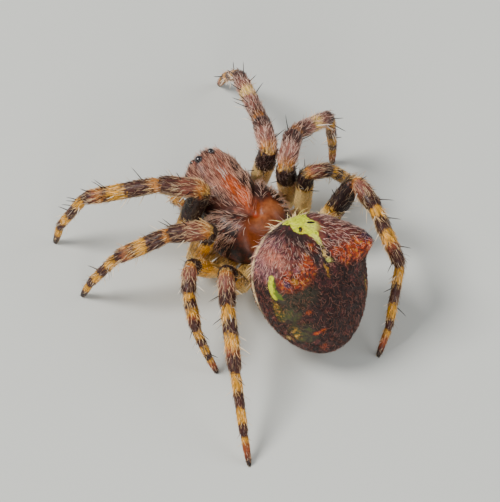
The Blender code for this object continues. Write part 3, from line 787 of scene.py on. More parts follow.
    def _carapace(self) -> bpy.types.NodeTree:
        """Red-brown, with an orange streak behind the eyes, a dark thorax and a bare amber rear; painted
        shade darkens the grooves beside the head, and painted highlights lighten the rear bulges.
        """
        p = PALETTE
        paint, raw, warped = self._markings("carapace")
        head = paint.flecks(raw, 5.0, [(0.0, p.umber), (0.35, p.chestnut), (0.75, p.rose), (1.0, p.tan)])
        thorax = paint.flecks(raw, 4.0, [(0.0, p.black), (0.5, p.dark), (1.0, p.maroon)])
        # Lighter amber: partly the rear's own colour, partly painted highlight
        amber_and_highlight = paint.flecks(raw, 1.6, [(0.0, p.umber), (0.35, p.amber), (1.0, p.honey)])
        marks = (
            Mark((0.0, -1.3, 2.2), (0.74, 1.35, 0.9), head, 0.12),
            # The orange streak is its own colour, set a little to the right of the middle as painted light,
            # where light makes that side brighter
            Mark((-0.10, -0.52, 2.2), (0.25, 0.70, 0.6), p.orange, 0.6, 1.0),
            # Painted shade: the dark bare walls of the head beside the grooves are painted black where the
            # grooves lie in shade
            Mark((0.38, -0.55, 1.9), (0.1, 0.55, 0.5), p.black, 0.6, 0.6),
            Mark((-0.46, -0.60, 2.1), (0.15, 0.5, 0.6), p.black, 0.6, 0.8),
            Mark((-0.64, -0.95, 2.0), (0.19, 0.8, 0.8), p.dark, 0.7, 0.85),
            Mark((0.12, 0.72, 1.9), (0.62, 0.52, 0.5), p.rust, 0.35),
            Mark((-0.35, 0.4, 2.0), (0.5, 0.4, 0.5), p.rust, 0.35),
            # Lighter amber on the right rear bulge and the knob behind the pit: partly their own amber,
            # partly painted highlight where light catches them
            Mark((-0.50, 0.33, 2.0), (0.30, 0.26, 0.5), amber_and_highlight, 0.35),
            Mark((0.02, 0.50, 2.0), (0.22, 0.20, 0.5), amber_and_highlight, 0.4),
            Mark((0.35, 0.95, 1.75), (0.22, 0.22, 0.4), p.amber, 0.6, 0.6),
            Mark((0.0, 0.22, 2.0), (0.07, 0.14, 0.3), p.red, 0.6, 0.5),
        )
        return paint.finished(paint.mottle(self._marked(paint, thorax, warped, marks), raw, 12.0, 0.2))

    def _underside(self) -> bpy.types.NodeTree:
        """Ochre brown, darker towards the middle."""
        p = PALETTE
        paint, raw, warped = self._markings("underside")
        base = paint.mix(paint.spread(paint.noise(raw, 3.0, 3.0), 0.4, 0.65), p.chestnut, p.ochre)
        marks = (Mark((0.0, 0.0, 0.5), (0.5, 0.8, 0.4), p.dark, 0.3, 0.8),)
        return paint.finished(paint.mottle(self._marked(paint, base, warped, marks), raw, 12.0, 0.2))

    def _jaw(self) -> bpy.types.NodeTree:
        """Red-brown jaws, darker towards the fangs."""
        paint, raw, warped = self._markings("jaw")
        colour = paint.mix(paint.spread(paint.split(warped)[2], 0.45, 0.95), PALETTE.dark, PALETTE.chestnut)
        return paint.finished(paint.mottle(colour, raw, 12.0, 0.2))

    @staticmethod
    def _limb(name: str, stops: tuple[Stops, Stops]) -> bpy.types.NodeTree:
        """Bands along a limb, read from how many segments out a place is.

        Args:
            name: The limb's name.
            stops: The bands of the inner three segments, then those of the outer ones.

        Returns:
            The group.
        """
        paint = Group(name + "_markings", {"Place": "Vector", "Station": "Vector"})
        raw = paint.given["Place"]
        station, _, upper = paint.split(paint.given["Station"])
        coarse = paint.math("SUBTRACT", paint.noise(raw, 3.5, 2.0), 0.5)
        fine = paint.math("SUBTRACT", paint.noise(raw, 18.0, 2.0), 0.5)
        shift = paint.math("ADD", paint.product(coarse, 0.2), paint.product(fine, 0.16))
        station = paint.math("ADD", station, shift)
        halves = []
        for start, bands in zip((0, 3), stops):
            along = paint.math("SUBTRACT", station, float(start)) if start else station
            spots = [((spot - start) / 3, colour) for spot, colour in bands]
            halves.append(paint.ramp(paint.math("DIVIDE", along, 3.0), spots))
        colour = paint.mix(paint.spread(station, 2.99, 3.01), *halves)
        knee = paint.spread(station, 1.94, 1.98), paint.spread(station, 2.04, 2.0)
        patch = paint.product(*knee, paint.spread(upper, 0.1, 0.5), 0.6)
        colour = paint.mix(patch, colour, PALETTE.straw)
        spots = paint.spread(paint.noise(raw, 5.0, 3.0, "Fac", 0.6), 0.58, 0.68, 0.0, 0.75)
        colour = paint.mix(paint.product(spots, paint.spread(station, 1.9, 1.8)), colour, PALETTE.umber)
        streak = paint.vector("MULTIPLY", paint.given["Station"], (1.2, 2.6, 2.6))
        colour = paint.mottle(colour, streak, 3.0, 0.6)
        below = paint.product(paint.spread(upper, 0.0, -0.9, 0.0, 0.2), paint.spread(station, 2.0, 2.1))
        colour = paint.mix(below, colour, PALETTE.pale_ochre)
        # Light shines through the roots of the legs on the right
        right = paint.spread(paint.split(raw)[0], -0.4, -1.0)
        beyond = paint.product(right, 0.95, paint.spread(station, 1.5, 1.4))
        colour = paint.mix(beyond, colour, PALETTE.parchment)
        return paint.finished(paint.mottle(colour, raw, 16.0, 0.2))

    @staticmethod
    def _leg_stops(bands: LegBands) -> tuple[Stops, Stops]:
        """The bands of a leg: coxa up to 1, then femur, patella, tibia, metatarsus, and tarsus up to 6."""
        p = PALETTE
        # The pale legs get paler bands all along as painted sheen, and paler femur roots as painted light
        # shining through them
        pale, front = bands is LegBands.PALE, bands is LegBands.FRONT
        root = p.pale_ochre if pale else p.ochre
        knee = p.chestnut if front else p.rose
        inner = [(0.0, p.pale_ochre), (1.0, p.pale_ochre), (1.1, root), (1.46, root), (1.54, p.dark)]
        shin = p.rose if pale else p.chestnut
        inner += [(1.94, p.dark), (1.98, p.amber), (2.08, p.tawny), (2.20, knee), (2.50, shin)]
        ring = p.umber if pale or front else p.band
        inner += [(2.66, ring), (2.93, p.band), (2.98, p.band), (3.0, p.tawny)]
        if pale:
            outer = [(3.0, p.tawny), (3.09, p.umber), (3.42, p.rose), (3.47, p.straw), (3.60, p.straw)]
            outer += [(3.68, p.rose), (3.88, p.umber)]
        elif front:
            outer = [(3.0, p.tawny), (3.07, p.tawny), (3.11, p.band), (3.42, p.umber), (3.47, p.yellow)]
            outer += [(3.62, p.yellow), (3.68, p.band), (3.78, p.tawny), (3.88, p.chestnut), (3.93, p.band)]
        else:
            outer = [(3.0, p.yellow), (3.15, p.yellow), (3.20, p.band), (3.40, p.band), (3.45, p.yellow)]
            outer += [(3.60, p.yellow), (3.66, p.russet), (3.80, p.band), (3.96, p.umber)]
        outer += [(4.02, p.umber), (4.07, p.yellow), (4.27, p.yellow), (4.32, p.band), (4.58, p.umber)]
        outer += [(4.63, p.yellow), (4.80, p.yellow), (4.86, p.band), (5.06, p.band), (5.14, p.yellow)]
        tip = (p.yellow, p.umber, p.dark) if front else (p.amber, p.russet, p.maroon)
        outer += [*zip((5.38, 5.52, 5.70), tip), (5.85, p.dark), (6.0, p.black)]
        return inner, outer

    @staticmethod
    def _palp_stops() -> tuple[Stops, Stops]:
        """The bands of a palp."""
        p = PALETTE
        inner = [(0.0, p.ochre), (0.8, p.ochre), (0.95, p.umber), (1.1, p.straw), (1.6, p.chestnut)]
        outer = [(3.0, p.yellow), (3.3, p.umber), (3.6, p.yellow), (4.1, p.chestnut), (4.7, p.dark)]
        inner.append((3.0, p.yellow))
        outer.append((6.0, p.dark))
        return inner, outer

    def _marking(self, paint: Paint, kind: str) -> bpy.types.NodeSocket:
        """The markings' colour where the mesh stands."""
        inputs = {"Place": paint.attribute("place")}
        if "Station" in self.markings[kind].interface.items_tree.keys():
            inputs["Station"] = paint.attribute("station")
        return paint.group(self.markings[kind], **inputs).outputs["Colour"]

    @staticmethod
    def _start(name: str) -> tuple[bpy.types.Material, Paint, bpy.types.Node]:
        """Starts a material: the material, a painter on it and its shader."""
        made = bpy.data.materials.new(name)
        made.use_nodes = True
        return made, Paint(made.node_tree), made.node_tree.nodes["Principled BSDF"]

    def skin(self, finish: SkinFinish, kind: str) -> bpy.types.Material:
        """A skin's material.

        Args:
            finish: How it takes light.
            kind: Whose markings it carries.

        Returns:
            The material.
        """
        made, paint, shader = self._start(finish.name)
        cloud = paint.noise(paint.attribute("place"), finish.relief_scale, 3.0)
        paint.fill(
            shader,
            Base_Color=self._marking(paint, kind),
            Roughness=paint.spread(cloud, 0.3, 0.7, finish.roughness - 0.08, finish.roughness + 0.1),
            Normal=paint.relief(cloud, finish.relief, 0.02),
            Specular_IOR_Level=0.3,
            Coat_Weight=finish.coat,
            Coat_Roughness=0.2,
        )
        return made

    def coat(self, finish: CoatFinish, kind: str) -> bpy.types.Material:
        """A coat's material.

        Args:
            finish: How hair takes light and how far it pales.
            kind: Whose markings it carries.

        Returns:
            The material.
        """
        made, paint, shader = self._start(finish.name)
        pale = finish.pale
        if finish.rear:
            behind = paint.spread(paint.split(paint.attribute("place"))[1], -1.3, -0.6)
            pale = paint.mix(behind, finish.pale, finish.rear)
        tone = paint.group(
            self.hair_tone,
            Marking=self._marking(paint, kind),
            Tint=paint.attribute("tint", "Fac"),
            Pale=pale,
            Low=finish.low,
            High=finish.high,
            Gain=finish.gain,
            Most=finish.most,
            Over_Dark=finish.over_dark,
        )
        paint.fill(shader, Base_Color=tone.outputs["Colour"], Roughness=finish.roughness)
        return made

    @classmethod
    def plain(cls, finish: PlainFinish) -> bpy.types.Material:
        """A material of one mottled colour."""
        made, paint, shader = cls._start(finish.name)
        where = paint.node("ShaderNodeTexCoord").outputs["Object"]
        cloud = paint.noise(where, finish.scale / MM, 4.0)
        colour = paint.mix(paint.spread(cloud, 0.35, 0.65), finish.colour, finish.second)
        gloss = {"Roughness": finish.roughness, "Coat_Weight": finish.coat, "Coat_Roughness": 0.05}
        paint.fill(shader, Base_Color=colour, **gloss)
        if finish.relief:
            paint.fill(shader, Normal=paint.relief(cloud, finish.relief, 0.01))
        return made

    @classmethod
    def spines(cls, name: str) -> bpy.types.Material:
        """Spines, pale at some roots and dark at others, by each spine's own tint."""
        made, paint, shader = cls._start(name)
        stops = [(0.0, PALETTE.black), (0.45, PALETTE.dark), (0.6, PALETTE.cream), (1.0, PALETTE.white)]
        paint.fill(shader, Base_Color=paint.ramp(paint.attribute("tint", "Fac"), stops), Roughness=0.35)
        return made


class Model:
    """Puts finished meshes into the scene, on the frame."""

    # Points of a skin closer than this, in millimetres, are one
    SEAM = 0.0002

    def __init__(self, finishes: Finishes) -> None:
        """Finds from the carapace how far the frame's origin is from the middle of the front body."""
        low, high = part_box("carapace")
        self.finishes = finishes
        back, up = high.y + FrontBody.REAR * MM, low.z - FrontBody.FLOOR * MM
        self.shift = np.array([(low.x + high.x) / 2, back, up])
        self.floor = -self.shift[2] / MM

    def to_world(self, points: Array) -> Array:
        """Turns model millimetres into the frame's metres."""
        return points * MM + self.shift

    @staticmethod
    def keep(piece: bpy.types.Object, slot: str, nodes: tuple[str, ...]) -> None:
        """Puts the piece on the body, hides the solids that it stands for and logs its faces."""
        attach(piece, BODY)
        if nodes:
            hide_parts(*nodes)
        LOG.info("%s: %d faces", piece.name, len(piece.data.polygons))

    @staticmethod
    def deselect() -> None:
        """Leaves nothing selected, so that an operator acts on the new primitive alone."""
        bpy.ops.object.select_all(action="DESELECT")

    def skin(
        self,
        name: str,
        shell: Shell,
        material: bpy.types.Material,
        slot: str,
        nodes: tuple[str, ...] = (),
        station: Array | None = None,
    ) -> bpy.types.Object:
        """Wraps a grid round a shell and closes its seam and poles.

        Args:
            name: The piece's name.
            shell: The form.
            material: Its finish.
            slot: Not used.
            nodes: The solids that it stands for.
            station: Where each point is along a limb, for banded limbs.

        Returns:
            The piece.
        """
        rings, sides = shell.points.shape[:2]
        self.deselect()
        bpy.ops.mesh.primitive_grid_add(x_subdivisions=sides, y_subdivisions=rings - 1, size=1.0)
        piece = bpy.context.object
        piece.name = name
        mesh = piece.data
        mesh.name = name

        def wrapped(values: Array) -> Array:
            """Repeats the first column at the seam."""
            return np.concatenate([values, values[:, :1]], axis=1).reshape(-1)

        mesh.vertices.foreach_set("co", wrapped(self.to_world(shell.points)))
        self._attribute(mesh, "place", wrapped(shell.marks))
        if station is not None:
            self._attribute(mesh, "station", wrapped(station))
        mesh.uv_layers.active.name = "OFBake"
        bpy.ops.object.mode_set(mode="EDIT")
        bpy.ops.mesh.select_all(action="SELECT")
        bpy.ops.mesh.remove_doubles(threshold=self.SEAM * MM)
        bpy.ops.mesh.normals_make_consistent(inside=False)
        bpy.ops.object.mode_set(mode="OBJECT")
        bpy.ops.object.shade_smooth()
        mesh.materials.append(material)
        self.keep(piece, slot, nodes)
        return piece

    @staticmethod
    def _attribute(mesh: bpy.types.Mesh, name: str, values: Array) -> None:
        """Stores a vector at every point."""
        made = mesh.attributes.new(name, "FLOAT_VECTOR", "POINT")
        made.data.foreach_set("vector", values.astype(np.float32))

    def strands(
        self,
        name: str,
        strands: Strands,
        material: bpy.types.Material,
        slot: str,
        stations: bool = False,
    ) -> bpy.types.Object:
        """Joins hairs into one mesh.

        Args:
            name: The piece's name.
            strands: The hairs.
            material: Their finish.
            slot: Not used.
            stations: Whether the marks hold places along a limb as well.

        Returns:
            The piece.
        """
        mesh = bpy.data.meshes.new(name)
        points = self.to_world(np.concatenate(strands.points))
        points[:, 2] = np.maximum(points[:, 2], 0.0)
        faces = np.concatenate(strands.faces)
        mesh.vertices.add(len(points))
        mesh.vertices.foreach_set("co", points.reshape(-1))
        mesh.loops.add(len(faces) * 3)
        mesh.loops.foreach_set("vertex_index", faces.reshape(-1).astype(np.int32))
        mesh.polygons.add(len(faces))
        mesh.polygons.foreach_set("loop_start", np.arange(0, len(faces) * 3, 3, dtype=np.int32))
        mesh.update(calc_edges=True)
        unwrap = mesh.uv_layers.new(name="OFBake")
        corners = np.concatenate(strands.unwrap)[faces.reshape(-1)]
        unwrap.uv.foreach_set("vector", corners.reshape(-1).astype(np.float32))
        marks = np.concatenate(strands.marks)
        self._attribute(mesh, "place", marks[:, :3].reshape(-1))
        if stations:
            self._attribute(mesh, "station", marks[:, 3:].reshape(-1))
        tint = mesh.attributes.new("tint", "FLOAT", "POINT")
        tint.data.foreach_set("value", np.concatenate(strands.tint).astype(np.float32))
        mesh.shade_smooth()
        mesh.materials.append(material)
        piece = bpy.data.objects.new(name, mesh)
        bpy.context.scene.collection.objects.link(piece)
        self.keep(piece, slot, ())
        return piece


@dataclass
class Abdomen:
    """An egg with two shoulder humps, held front end up, with its short curly coat."""

    middle: tuple[float, float, float] = (-3.10, 0.32, 2.09)
    yaw: float = 8.0
    pitch: float = 54.5
    roll: float = 7.0
    half_length: float = 2.02
    half_width: float = 1.66
    half_height: float = 1.35
    taper: float = 0.17
    hump_side: float = 1.15
    hump_forward: float = 0.93
    hump_height: float = 0.64
    hump_lean: float = 0.5
    hump_width: float = 0.5
    hump_front: float = 0.75
    hump_rear: float = 0.45
    hump_point: float = 1.6
    hump_fade: float = 0.5
    waist_bulge: float = 0.5
    waist_bulge_width: float = 0.9
    waist_bulge_back: float = -0.05
    waist_bulge_length: float = 0.95
    waist_fade: float = 0.2
    wrinkle_depth: float = 0.012
    coat_depth: float = 0.03
    rings: int = 150
    sides: int = 190
    seed: int = 3
    swept: Hair = Hair(240, 0.18, 0.0072, 18, 6, 14, 12, 3, tint=(0.0, 0.35), vary=0.35)
    swept_pale: Hair = Hair(130, 0.22, 0.0074, 20, 7, 12, 12, 3, tint=(0.75, 1.2), vary=0.35)
    curly: Hair = Hair(260, 0.14, 0.0074, 20, 8, 40, 34, 3, tint=(0.0, 0.2), vary=0.35)
    curly_pale: Hair = Hair(110, 0.16, 0.0074, 24, 8, 40, 38, 3, tint=(0.8, 1.15), vary=0.35)
    swept_until: float = -1.0
    bare: float = 0.05
    below: float = 0.2
    bare_spots: tuple[tuple[float, ...], ...] = (
        (-0.12, -1.9, 0.3, 0.42, 0.5, 0.62),
        (1.56, -0.82, 0.9, 0.2, 0.48, 0.22),
        (1.34, 0.15, 0.76, 0.3, 0.24, 0.3),
        (1.08, 0.88, 0.74, 0.34, 0.34, 0.34),
    )
    fringe: Hair = Hair(30, 0.28, 0.0075, 50, 30, 30, 14, 3, tint=(0.6, 1.0), vary=0.4)
    # Each pair of spigots: how far along the mound it stands and how far out it reaches
    spigots: tuple[tuple[float, float], ...] = ((-0.12, 0.23), (0.0, 0.16), (0.12, 0.26))
    spigot_side: float = 0.09
    spigot_radii: tuple[tuple[float, float], ...] = ((0.0, 0.07), (1.0, 0.06), (1.7, 0.04), (2.0, 0.02))
    spigot_down: Hair = Hair(260, 0.08, 0.006, 30, 15, 16, 4, 2, tint=(0.2, 1.0))

    def own_points(self) -> Array:
        """The form in the abdomen's own axes, front pole first."""
        x, y, z = sphere(self.rings, self.sides)
        left = (self.half_width - self.coat_depth) * x * (1 - self.taper * y)
        up = (self.half_height - self.coat_depth) * z * (1 - 0.5 * self.taper * y)
        back = (self.half_length - self.coat_depth) * y
        across = (np.abs(left) - self.hump_side) / self.hump_width
        from_tip = back + self.hump_forward
        lengthwise = from_tip / np.where(from_tip > 0, self.hump_rear, self.hump_front)
        hump = self.hump_height * np.exp(-(np.hypot(across, lengthwise) ** self.hump_point))
        hump = hump * smoothstep(z / self.hump_fade)
        across = bump(left, 0, self.waist_bulge_width)
        lengthwise = bump(back, self.waist_bulge_back, self.waist_bulge_length)
        swell = self.waist_bulge * across * lengthwise * smoothstep(-z / self.waist_fade)
        wrinkle = self.wrinkle_depth * np.sin(9 * back + 3 * np.sin(4 * left)) * bump(back, 1.1, 0.7)
        up = up + hump - swell + wrinkle * (z > 0)
        left = left + np.sign(left) * self.hump_lean * hump
        return np.stack([left, back, up], axis=-1)

    def turned(self, own: Array) -> Array:
        """Turns the abdomen's own axes into the model's, without moving its middle."""
        angles = (math.radians(-self.pitch), math.radians(-self.roll), math.radians(-self.yaw))
        return own @ np.array(Euler(angles, "YXZ").to_matrix()).T

    def shell(self) -> Shell:
        """The finished form, whose hair lies backwards."""
        own = self.own_points()
        points = self.turned(own) + place(*self.middle)
        lie = np.gradient(points, axis=0)
        lie[0], lie[-1] = lie[1], lie[-2]
        inside = np.broadcast_to(place(*self.middle), points.shape)
        return Shell(points, unit(lie), own, inside)

    def build(self, model: Model) -> None:
        """Builds skin and coat."""
        finishes = model.finishes
        shell = self.shell()
        skin = SkinFinish("abdomen_skin", roughness=0.56, relief=0.6, relief_scale=22.0, coat=0.05)
        model.skin("abdomen_skin", shell, finishes.skin(skin, "abdomen"), "abdomen", ("abdomen",))
        chance = np.random.default_rng(self.seed)
        strands = Strands()
        own = shell.marks
        bare = np.ones(own.shape[:2])
        for spot in self.bare_spots:
            away = np.linalg.norm((own - spot[:3]) / spot[3:], axis=-1)
            bare *= self.bare + (1 - self.bare) * smoothstep((away - 0.95) / 0.4)
        below = smoothstep((own[..., 2] + 0.4) / 0.4) * (1 - self.below) + self.below
        ahead = smoothstep((self.swept_until - own[..., 1]) / 0.5)
        strands.cover(shell, self.swept, chance, bare * below * ahead)
        strands.cover(shell, self.swept_pale, chance, bare * below * ahead)
        strands.cover(shell, self.curly, chance, bare * below * (1 - ahead))
        strands.cover(shell, self.curly_pale, chance, bare * below * (1 - ahead))
        edge = bump(own[..., 2], -0.15, 0.35) * smoothstep((-own[..., 1] - 0.2) / 1.2)
        strands.cover(shell, self.fringe, chance, edge)
        coat = CoatFinish(
            "abdomen_coat",
            PALETTE.pink,
            low=0.55,
            high=1.0,
            gain=1.35,
            most=0.75,
            over_dark=0.5,
            rear=PALETTE.tan,
        )
        model.strands("abdomen_coat", strands, finishes.coat(coat, "abdomen"), "abdomen")
        self._spinnerets(model, shell)

    def _spinnerets(self, model: Model, shell: Shell) -> None:
        """A low mound with three pairs of spigots, below the rear."""
        finishes = model.finishes
        aim = unit(np.array([0.0, 1.2 * self.half_length, -0.9 * self.half_height]))
        nearest = int(np.argmax(unit(shell.marks).reshape(-1, 3) @ aim))
        base = shell.points.reshape(-1, 3)[nearest]
        normal = shell.outward().reshape(-1, 3)[nearest]
        across = unit(np.cross(normal, [0.0, 1.0, 0.0]))
        along = np.cross(normal, across)
        dull = {"roughness": 0.4, "scale": 14.0, "coat": 0.2, "relief": 0.4}
        skin = finishes.plain(PlainFinish("spinneret_skin", PALETTE.umber, PALETTE.chestnut, **dull))
        coat = finishes.coat(CoatFinish("spinneret_coat", PALETTE.cream, low=0.4, high=1.1), "underside")
        heights = (-0.1, 0.06, 0.13)
        widths = ((0.0, 0.31), (1.0, 0.3), (2.0, 0.2))
        rows = [base + normal * height for height in heights]
        mound = Limb(rows, widths, across, corner=0.05, spacing=0.03, sides=40, tip_dome=0.3)
        model.skin("spinneret_mound", mound.shell(model.floor)[0], skin, "abdomen", ("spinnerets",))
        chance = np.random.default_rng(self.seed + 1)
        strands = Strands()
        for row, reach in self.spigots:
            for side in Side:
                foot = base + across * side.value * self.spigot_side + along * row + normal * 0.03
                tip = foot + normal * reach + across * side.value * 0.03
                form = {"corner": 0.04, "spacing": 0.02, "sides": 24, "tip_dome": 0.5}
                cone = Limb([foot, (foot + tip) / 2, tip], self.spigot_radii, across, **form)
                spigot = cone.shell(model.floor)[0]
                model.skin(f"spinneret_{side.label}_{int(100 * row + 12)}", spigot, skin, "abdomen")
                strands.cover(spigot, self.spigot_down, chance)
        model.strands("spinneret_coat", strands, coat, "abdomen")


@dataclass
class FrontBody:
    """The carapace, the plates below it and the waist."""

    REAR = -1.25
    FRONT = 2.25
    FLOOR = 1.2

    squareness: float = 2.5
    stations: tuple[tuple[float, float, float], ...] = (
        (0.00, 0.30, 1.45),
        (0.08, 0.74, 1.70),
        (0.20, 1.08, 1.98),
        (0.35, 1.23, 2.12),
        (0.50, 1.14, 2.16),
        (0.62, 0.90, 2.22),
        (0.72, 0.76, 2.32),
        (0.86, 0.72, 2.44),
        (0.95, 0.66, 2.42),
        (1.00, 0.50, 2.18),
    )
    # Each swelling: its height, its middle and half size along the body, and the same to each side
    swellings: tuple[tuple[float, ...], ...] = (
        (0.05, -0.42, 0.09, 0.0, 0.10),
        (0.10, -0.45, 0.35, 0.5, 0.28),
        (0.07, 0.25, 0.40, 0.8, 0.25),
        (0.06, 2.10, 0.22, 0.0, 0.26),
        (-0.15, -0.22, 0.16, 0.0, 0.12),
    )
    groove_depth: float = 0.15
    groove_width: float = 0.13
    coat_depth: float = 0.02
    fuller_left: float = 0.03
    fuller_right: float = 0.18
    fuller_middle: float = 1.5
    fuller_length: float = 0.6
    edge_flare: float = 0.02
    edge_height: float = 0.12
    # Height of the line that the ends close onto, and depth of the lower half, as shares of the arch
    closing_share: float = 0.35
    lower_share: float = 0.5
    end_power: float = 14.0
    rings: int = 150
    sides: int = 160
    seed: int = 11
    head: Hair = Hair(320, 0.22, 0.0070, 12, 3, 5, 4, 2, tint=(0.0, 0.2))
    head_pale: Hair = Hair(190, 0.27, 0.0072, 13, 4, 5, 5, 3, tint=(0.72, 1.2))
    thorax: Hair = Hair(170, 0.34, 0.0064, 15, 5, 9, 8, 4, tint=(0.75, 1.3))
    bristle: Hair = Hair(6, 0.26, 0.008, 50, 34, 30, 6, 3, tint=(0.3, 1.0))
    tuft: Hair = Hair(500, 0.3, 0.010, 20, 8, 6, 3, 2, tint=(1.3, 1.6))
    down: Hair = Hair(70, 0.2, 0.008, 30, 12, 20, 8, 2, tint=(0.2, 1.0))

    @staticmethod
    def groove_side(forward: Array) -> Array:
        """How far out from the middle the groove between head and thorax runs."""
        return 0.05 + 0.82 * np.clip((forward + 0.2) / 1.1, 0, 1.2)

    def height_change(self, forward: Array, left: Array) -> Array:
        """Swellings and grooves of the upper surface."""
        side = np.abs(left)
        change = np.zeros_like(side)
        for height, middle, half_length, off, half_width in self.swellings:
            change = change + height * bump(forward, middle, half_length) * bump(side, off, half_width)
        groove = self.groove_depth * bump(side, self.groove_side(forward), self.groove_width)
        groove = groove * smoothstep((forward + 0.3) / 0.3) * smoothstep((1.15 - forward) / 0.3)
        return change - groove

    def squared(self, share: Array) -> Array:
        """Turns a circle's share of width or height into that of a squarer arch."""
        return np.sign(share) * np.abs(share) ** (2 / self.squareness)

    def carapace_point(self, along: Array, angle: Array) -> Array:
        """A point of the carapace from its place along the length and its angle above the side."""
        half_width = curve_through(self.stations, along, 1) - self.coat_depth
        ridge = curve_through(self.stations, along, 2) - self.coat_depth
        forward = self.REAR + (self.FRONT - self.REAR) * along
        close = (1 - np.clip(np.abs(2 * along - 1), 0, 1) ** self.end_power) ** (1 / self.end_power)
        side, rise = self.squared(np.cos(angle)), self.squared(np.sin(angle))
        middle = self.FLOOR + self.closing_share * (ridge - self.FLOOR)
        fuller = np.where(side < 0, self.fuller_right, self.fuller_left)
        fuller = fuller * bump(forward, self.fuller_middle, self.fuller_length)
        flare = 1 + self.edge_flare * bump(angle, 0.0, self.edge_height)
        left = (half_width + fuller) * side * flare * close
        lift = self.height_change(forward, left) * np.clip(rise * 2, 0, 1)
        arch = np.where(rise > 0, rise, self.lower_share * rise)
        up = self.FLOOR + (ridge - self.FLOOR) * arch + lift
        up = middle + (up - middle) * close
        return np.stack([left, -forward, up], axis=-1)

    def carapace(self) -> Shell:
        """The whole carapace, rear first, whose hair runs out from the pit and along the head."""
        turn = np.linspace(0.0, math.pi, self.rings)[:, None]
        along = (1 - np.cos(turn)) / 2 * np.ones((1, self.sides))
        angle = np.linspace(0.0, math.tau, self.sides, endpoint=False)[None] * np.ones_like(along)
        points = self.carapace_point(along, angle)
        from_pit = points - np.array([0.0, 0.2, 2.0])
        onwards = np.zeros_like(points) + np.array([0.0, -1.0, 0.0])
        onwards[..., 0] = -0.35 * points[..., 0]
        share = smoothstep((-points[..., 1] - 0.55) / 0.6)[..., None]
        head_share = smoothstep((0.75 - np.abs(points[..., 0])) / 0.3)[..., None]
        share = np.maximum(share, head_share * smoothstep(-points[..., 1:2] / 0.3))
        lie = unit(from_pit) * (1 - share) + onwards * share
        return Shell(points, unit(lie), points)

    def build(self, model: Model) -> None:
        """Builds the carapace with its coat, the plates below and the waist."""
        finishes = model.finishes
        shell = self.carapace()
        skin = SkinFinish("carapace_skin", roughness=0.36, relief=0.45, relief_scale=26.0, coat=0.08)
        model.skin("carapace_skin", shell, finishes.skin(skin, "carapace"), "carapace", ("carapace",))
        chance = np.random.default_rng(self.seed)
        strands = Strands()
        for kind, share in self._covers(shell.points):
            strands.cover(shell, kind, chance, share)
        coat = CoatFinish("carapace_coat", PALETTE.peach, low=0.5, high=0.95, gain=1.35, most=0.78)
        model.strands("carapace_coat", strands, finishes.coat(coat, "carapace"), "carapace")
        self._underside(model)

    def _covers(self, points: Array) -> tuple[tuple[Hair, Array], ...]:
        """How thickly each kind of hair stands at every point of the carapace."""
        left, forward, up = points[..., 0], -points[..., 1], points[..., 2]
        above = smoothstep((up - 1.15) / 0.15)
        groove_side = self.groove_side(forward)
        on_head = smoothstep((groove_side - 0.02 - np.abs(left)) / 0.1) * smoothstep((forward + 0.12) / 0.2)
        behind = smoothstep((forward + 0.28 + 0.4 * left) / 0.25) * smoothstep((forward + 0.55) / 0.25)
        outside = smoothstep((np.abs(left) - groove_side - 0.1) / 0.12)
        on_thorax = behind * np.maximum(outside, 0.5 * smoothstep((0.1 - forward) / 0.2)) * (1 - on_head)
        right_flank = smoothstep((-left - 0.62) / 0.15) * smoothstep((forward + 0.7) / 0.3)
        on_thorax = np.maximum(on_thorax, right_flank)
        streak = bump(left, -0.05, 0.07) * bump(forward, 1.15, 0.12)
        return (
            (self.head, on_head * above),
            (self.head_pale, on_head * above),
            (self.thorax, on_thorax * above),
            (self.bristle, on_head * above),
            (self.tuft, streak * above),
        )

    @staticmethod
    def egg(middle: Array, half: tuple[float, float, float], rings: int = 40, sides: int = 44) -> Shell:
        """A closed egg along the body, whose hair lies backwards."""
        x, y, z = sphere(rings, sides)
        points = np.stack([half[0] * x, half[1] * y, half[2] * z], axis=-1) + middle
        lie = np.zeros_like(points) + np.array([0.0, 1.0, -0.1])
        return Shell(points, lie, points)

    def _underside(self, model: Model) -> None:
        """The breastplate, mouthparts behind the fangs, and waist."""
        finishes = model.finishes
        finish = SkinFinish("underside_skin", roughness=0.45, relief=0.3, relief_scale=24.0, coat=0.15)
        skin = finishes.skin(finish, "underside")
        chance = np.random.default_rng(self.seed + 1)
        strands = Strands()
        plate = self.egg(place(0.0, 0, 0.82), (0.64, 1.0, 0.34))
        model.skin("sternum_skin", plate, skin, "underside", ("sternum",))
        strands.cover(plate, self.down, chance)
        for side in Side:
            maxilla = self.egg(place(1.14, side.value * 0.2, 0.72), (0.21, 0.35, 0.25), 28, 28)
            model.skin("maxilla_" + side.label, maxilla, skin, "underside")
            strands.cover(maxilla, self.down, chance)
        core = self.egg(place(0.1, 0, 1.15), (0.8, 1.25, 0.42))
        model.skin("side_membrane", core, skin, "underside")
        waist = [place(-0.85, 0, 0.95), place(-1.35, 0.01, 1.02), place(-1.85, 0.04, 1.2)]
        widths = ((0.0, 0.15), (0.6, 0.17), (1.0, 0.2), (2.0, 0.2))
        limb = Limb(waist, widths, np.array([1.0, 0.0, 0.0]), corner=0.1, spacing=0.04, sides=32)
        model.skin("pedicel_skin", limb.shell(model.floor)[0], skin, "underside", ("pedicel",))
        coat = CoatFinish("underside_coat", PALETTE.cream, low=0.2, high=1.0)
        model.strands("underside_coat", strands, finishes.coat(coat, "underside"), "underside")


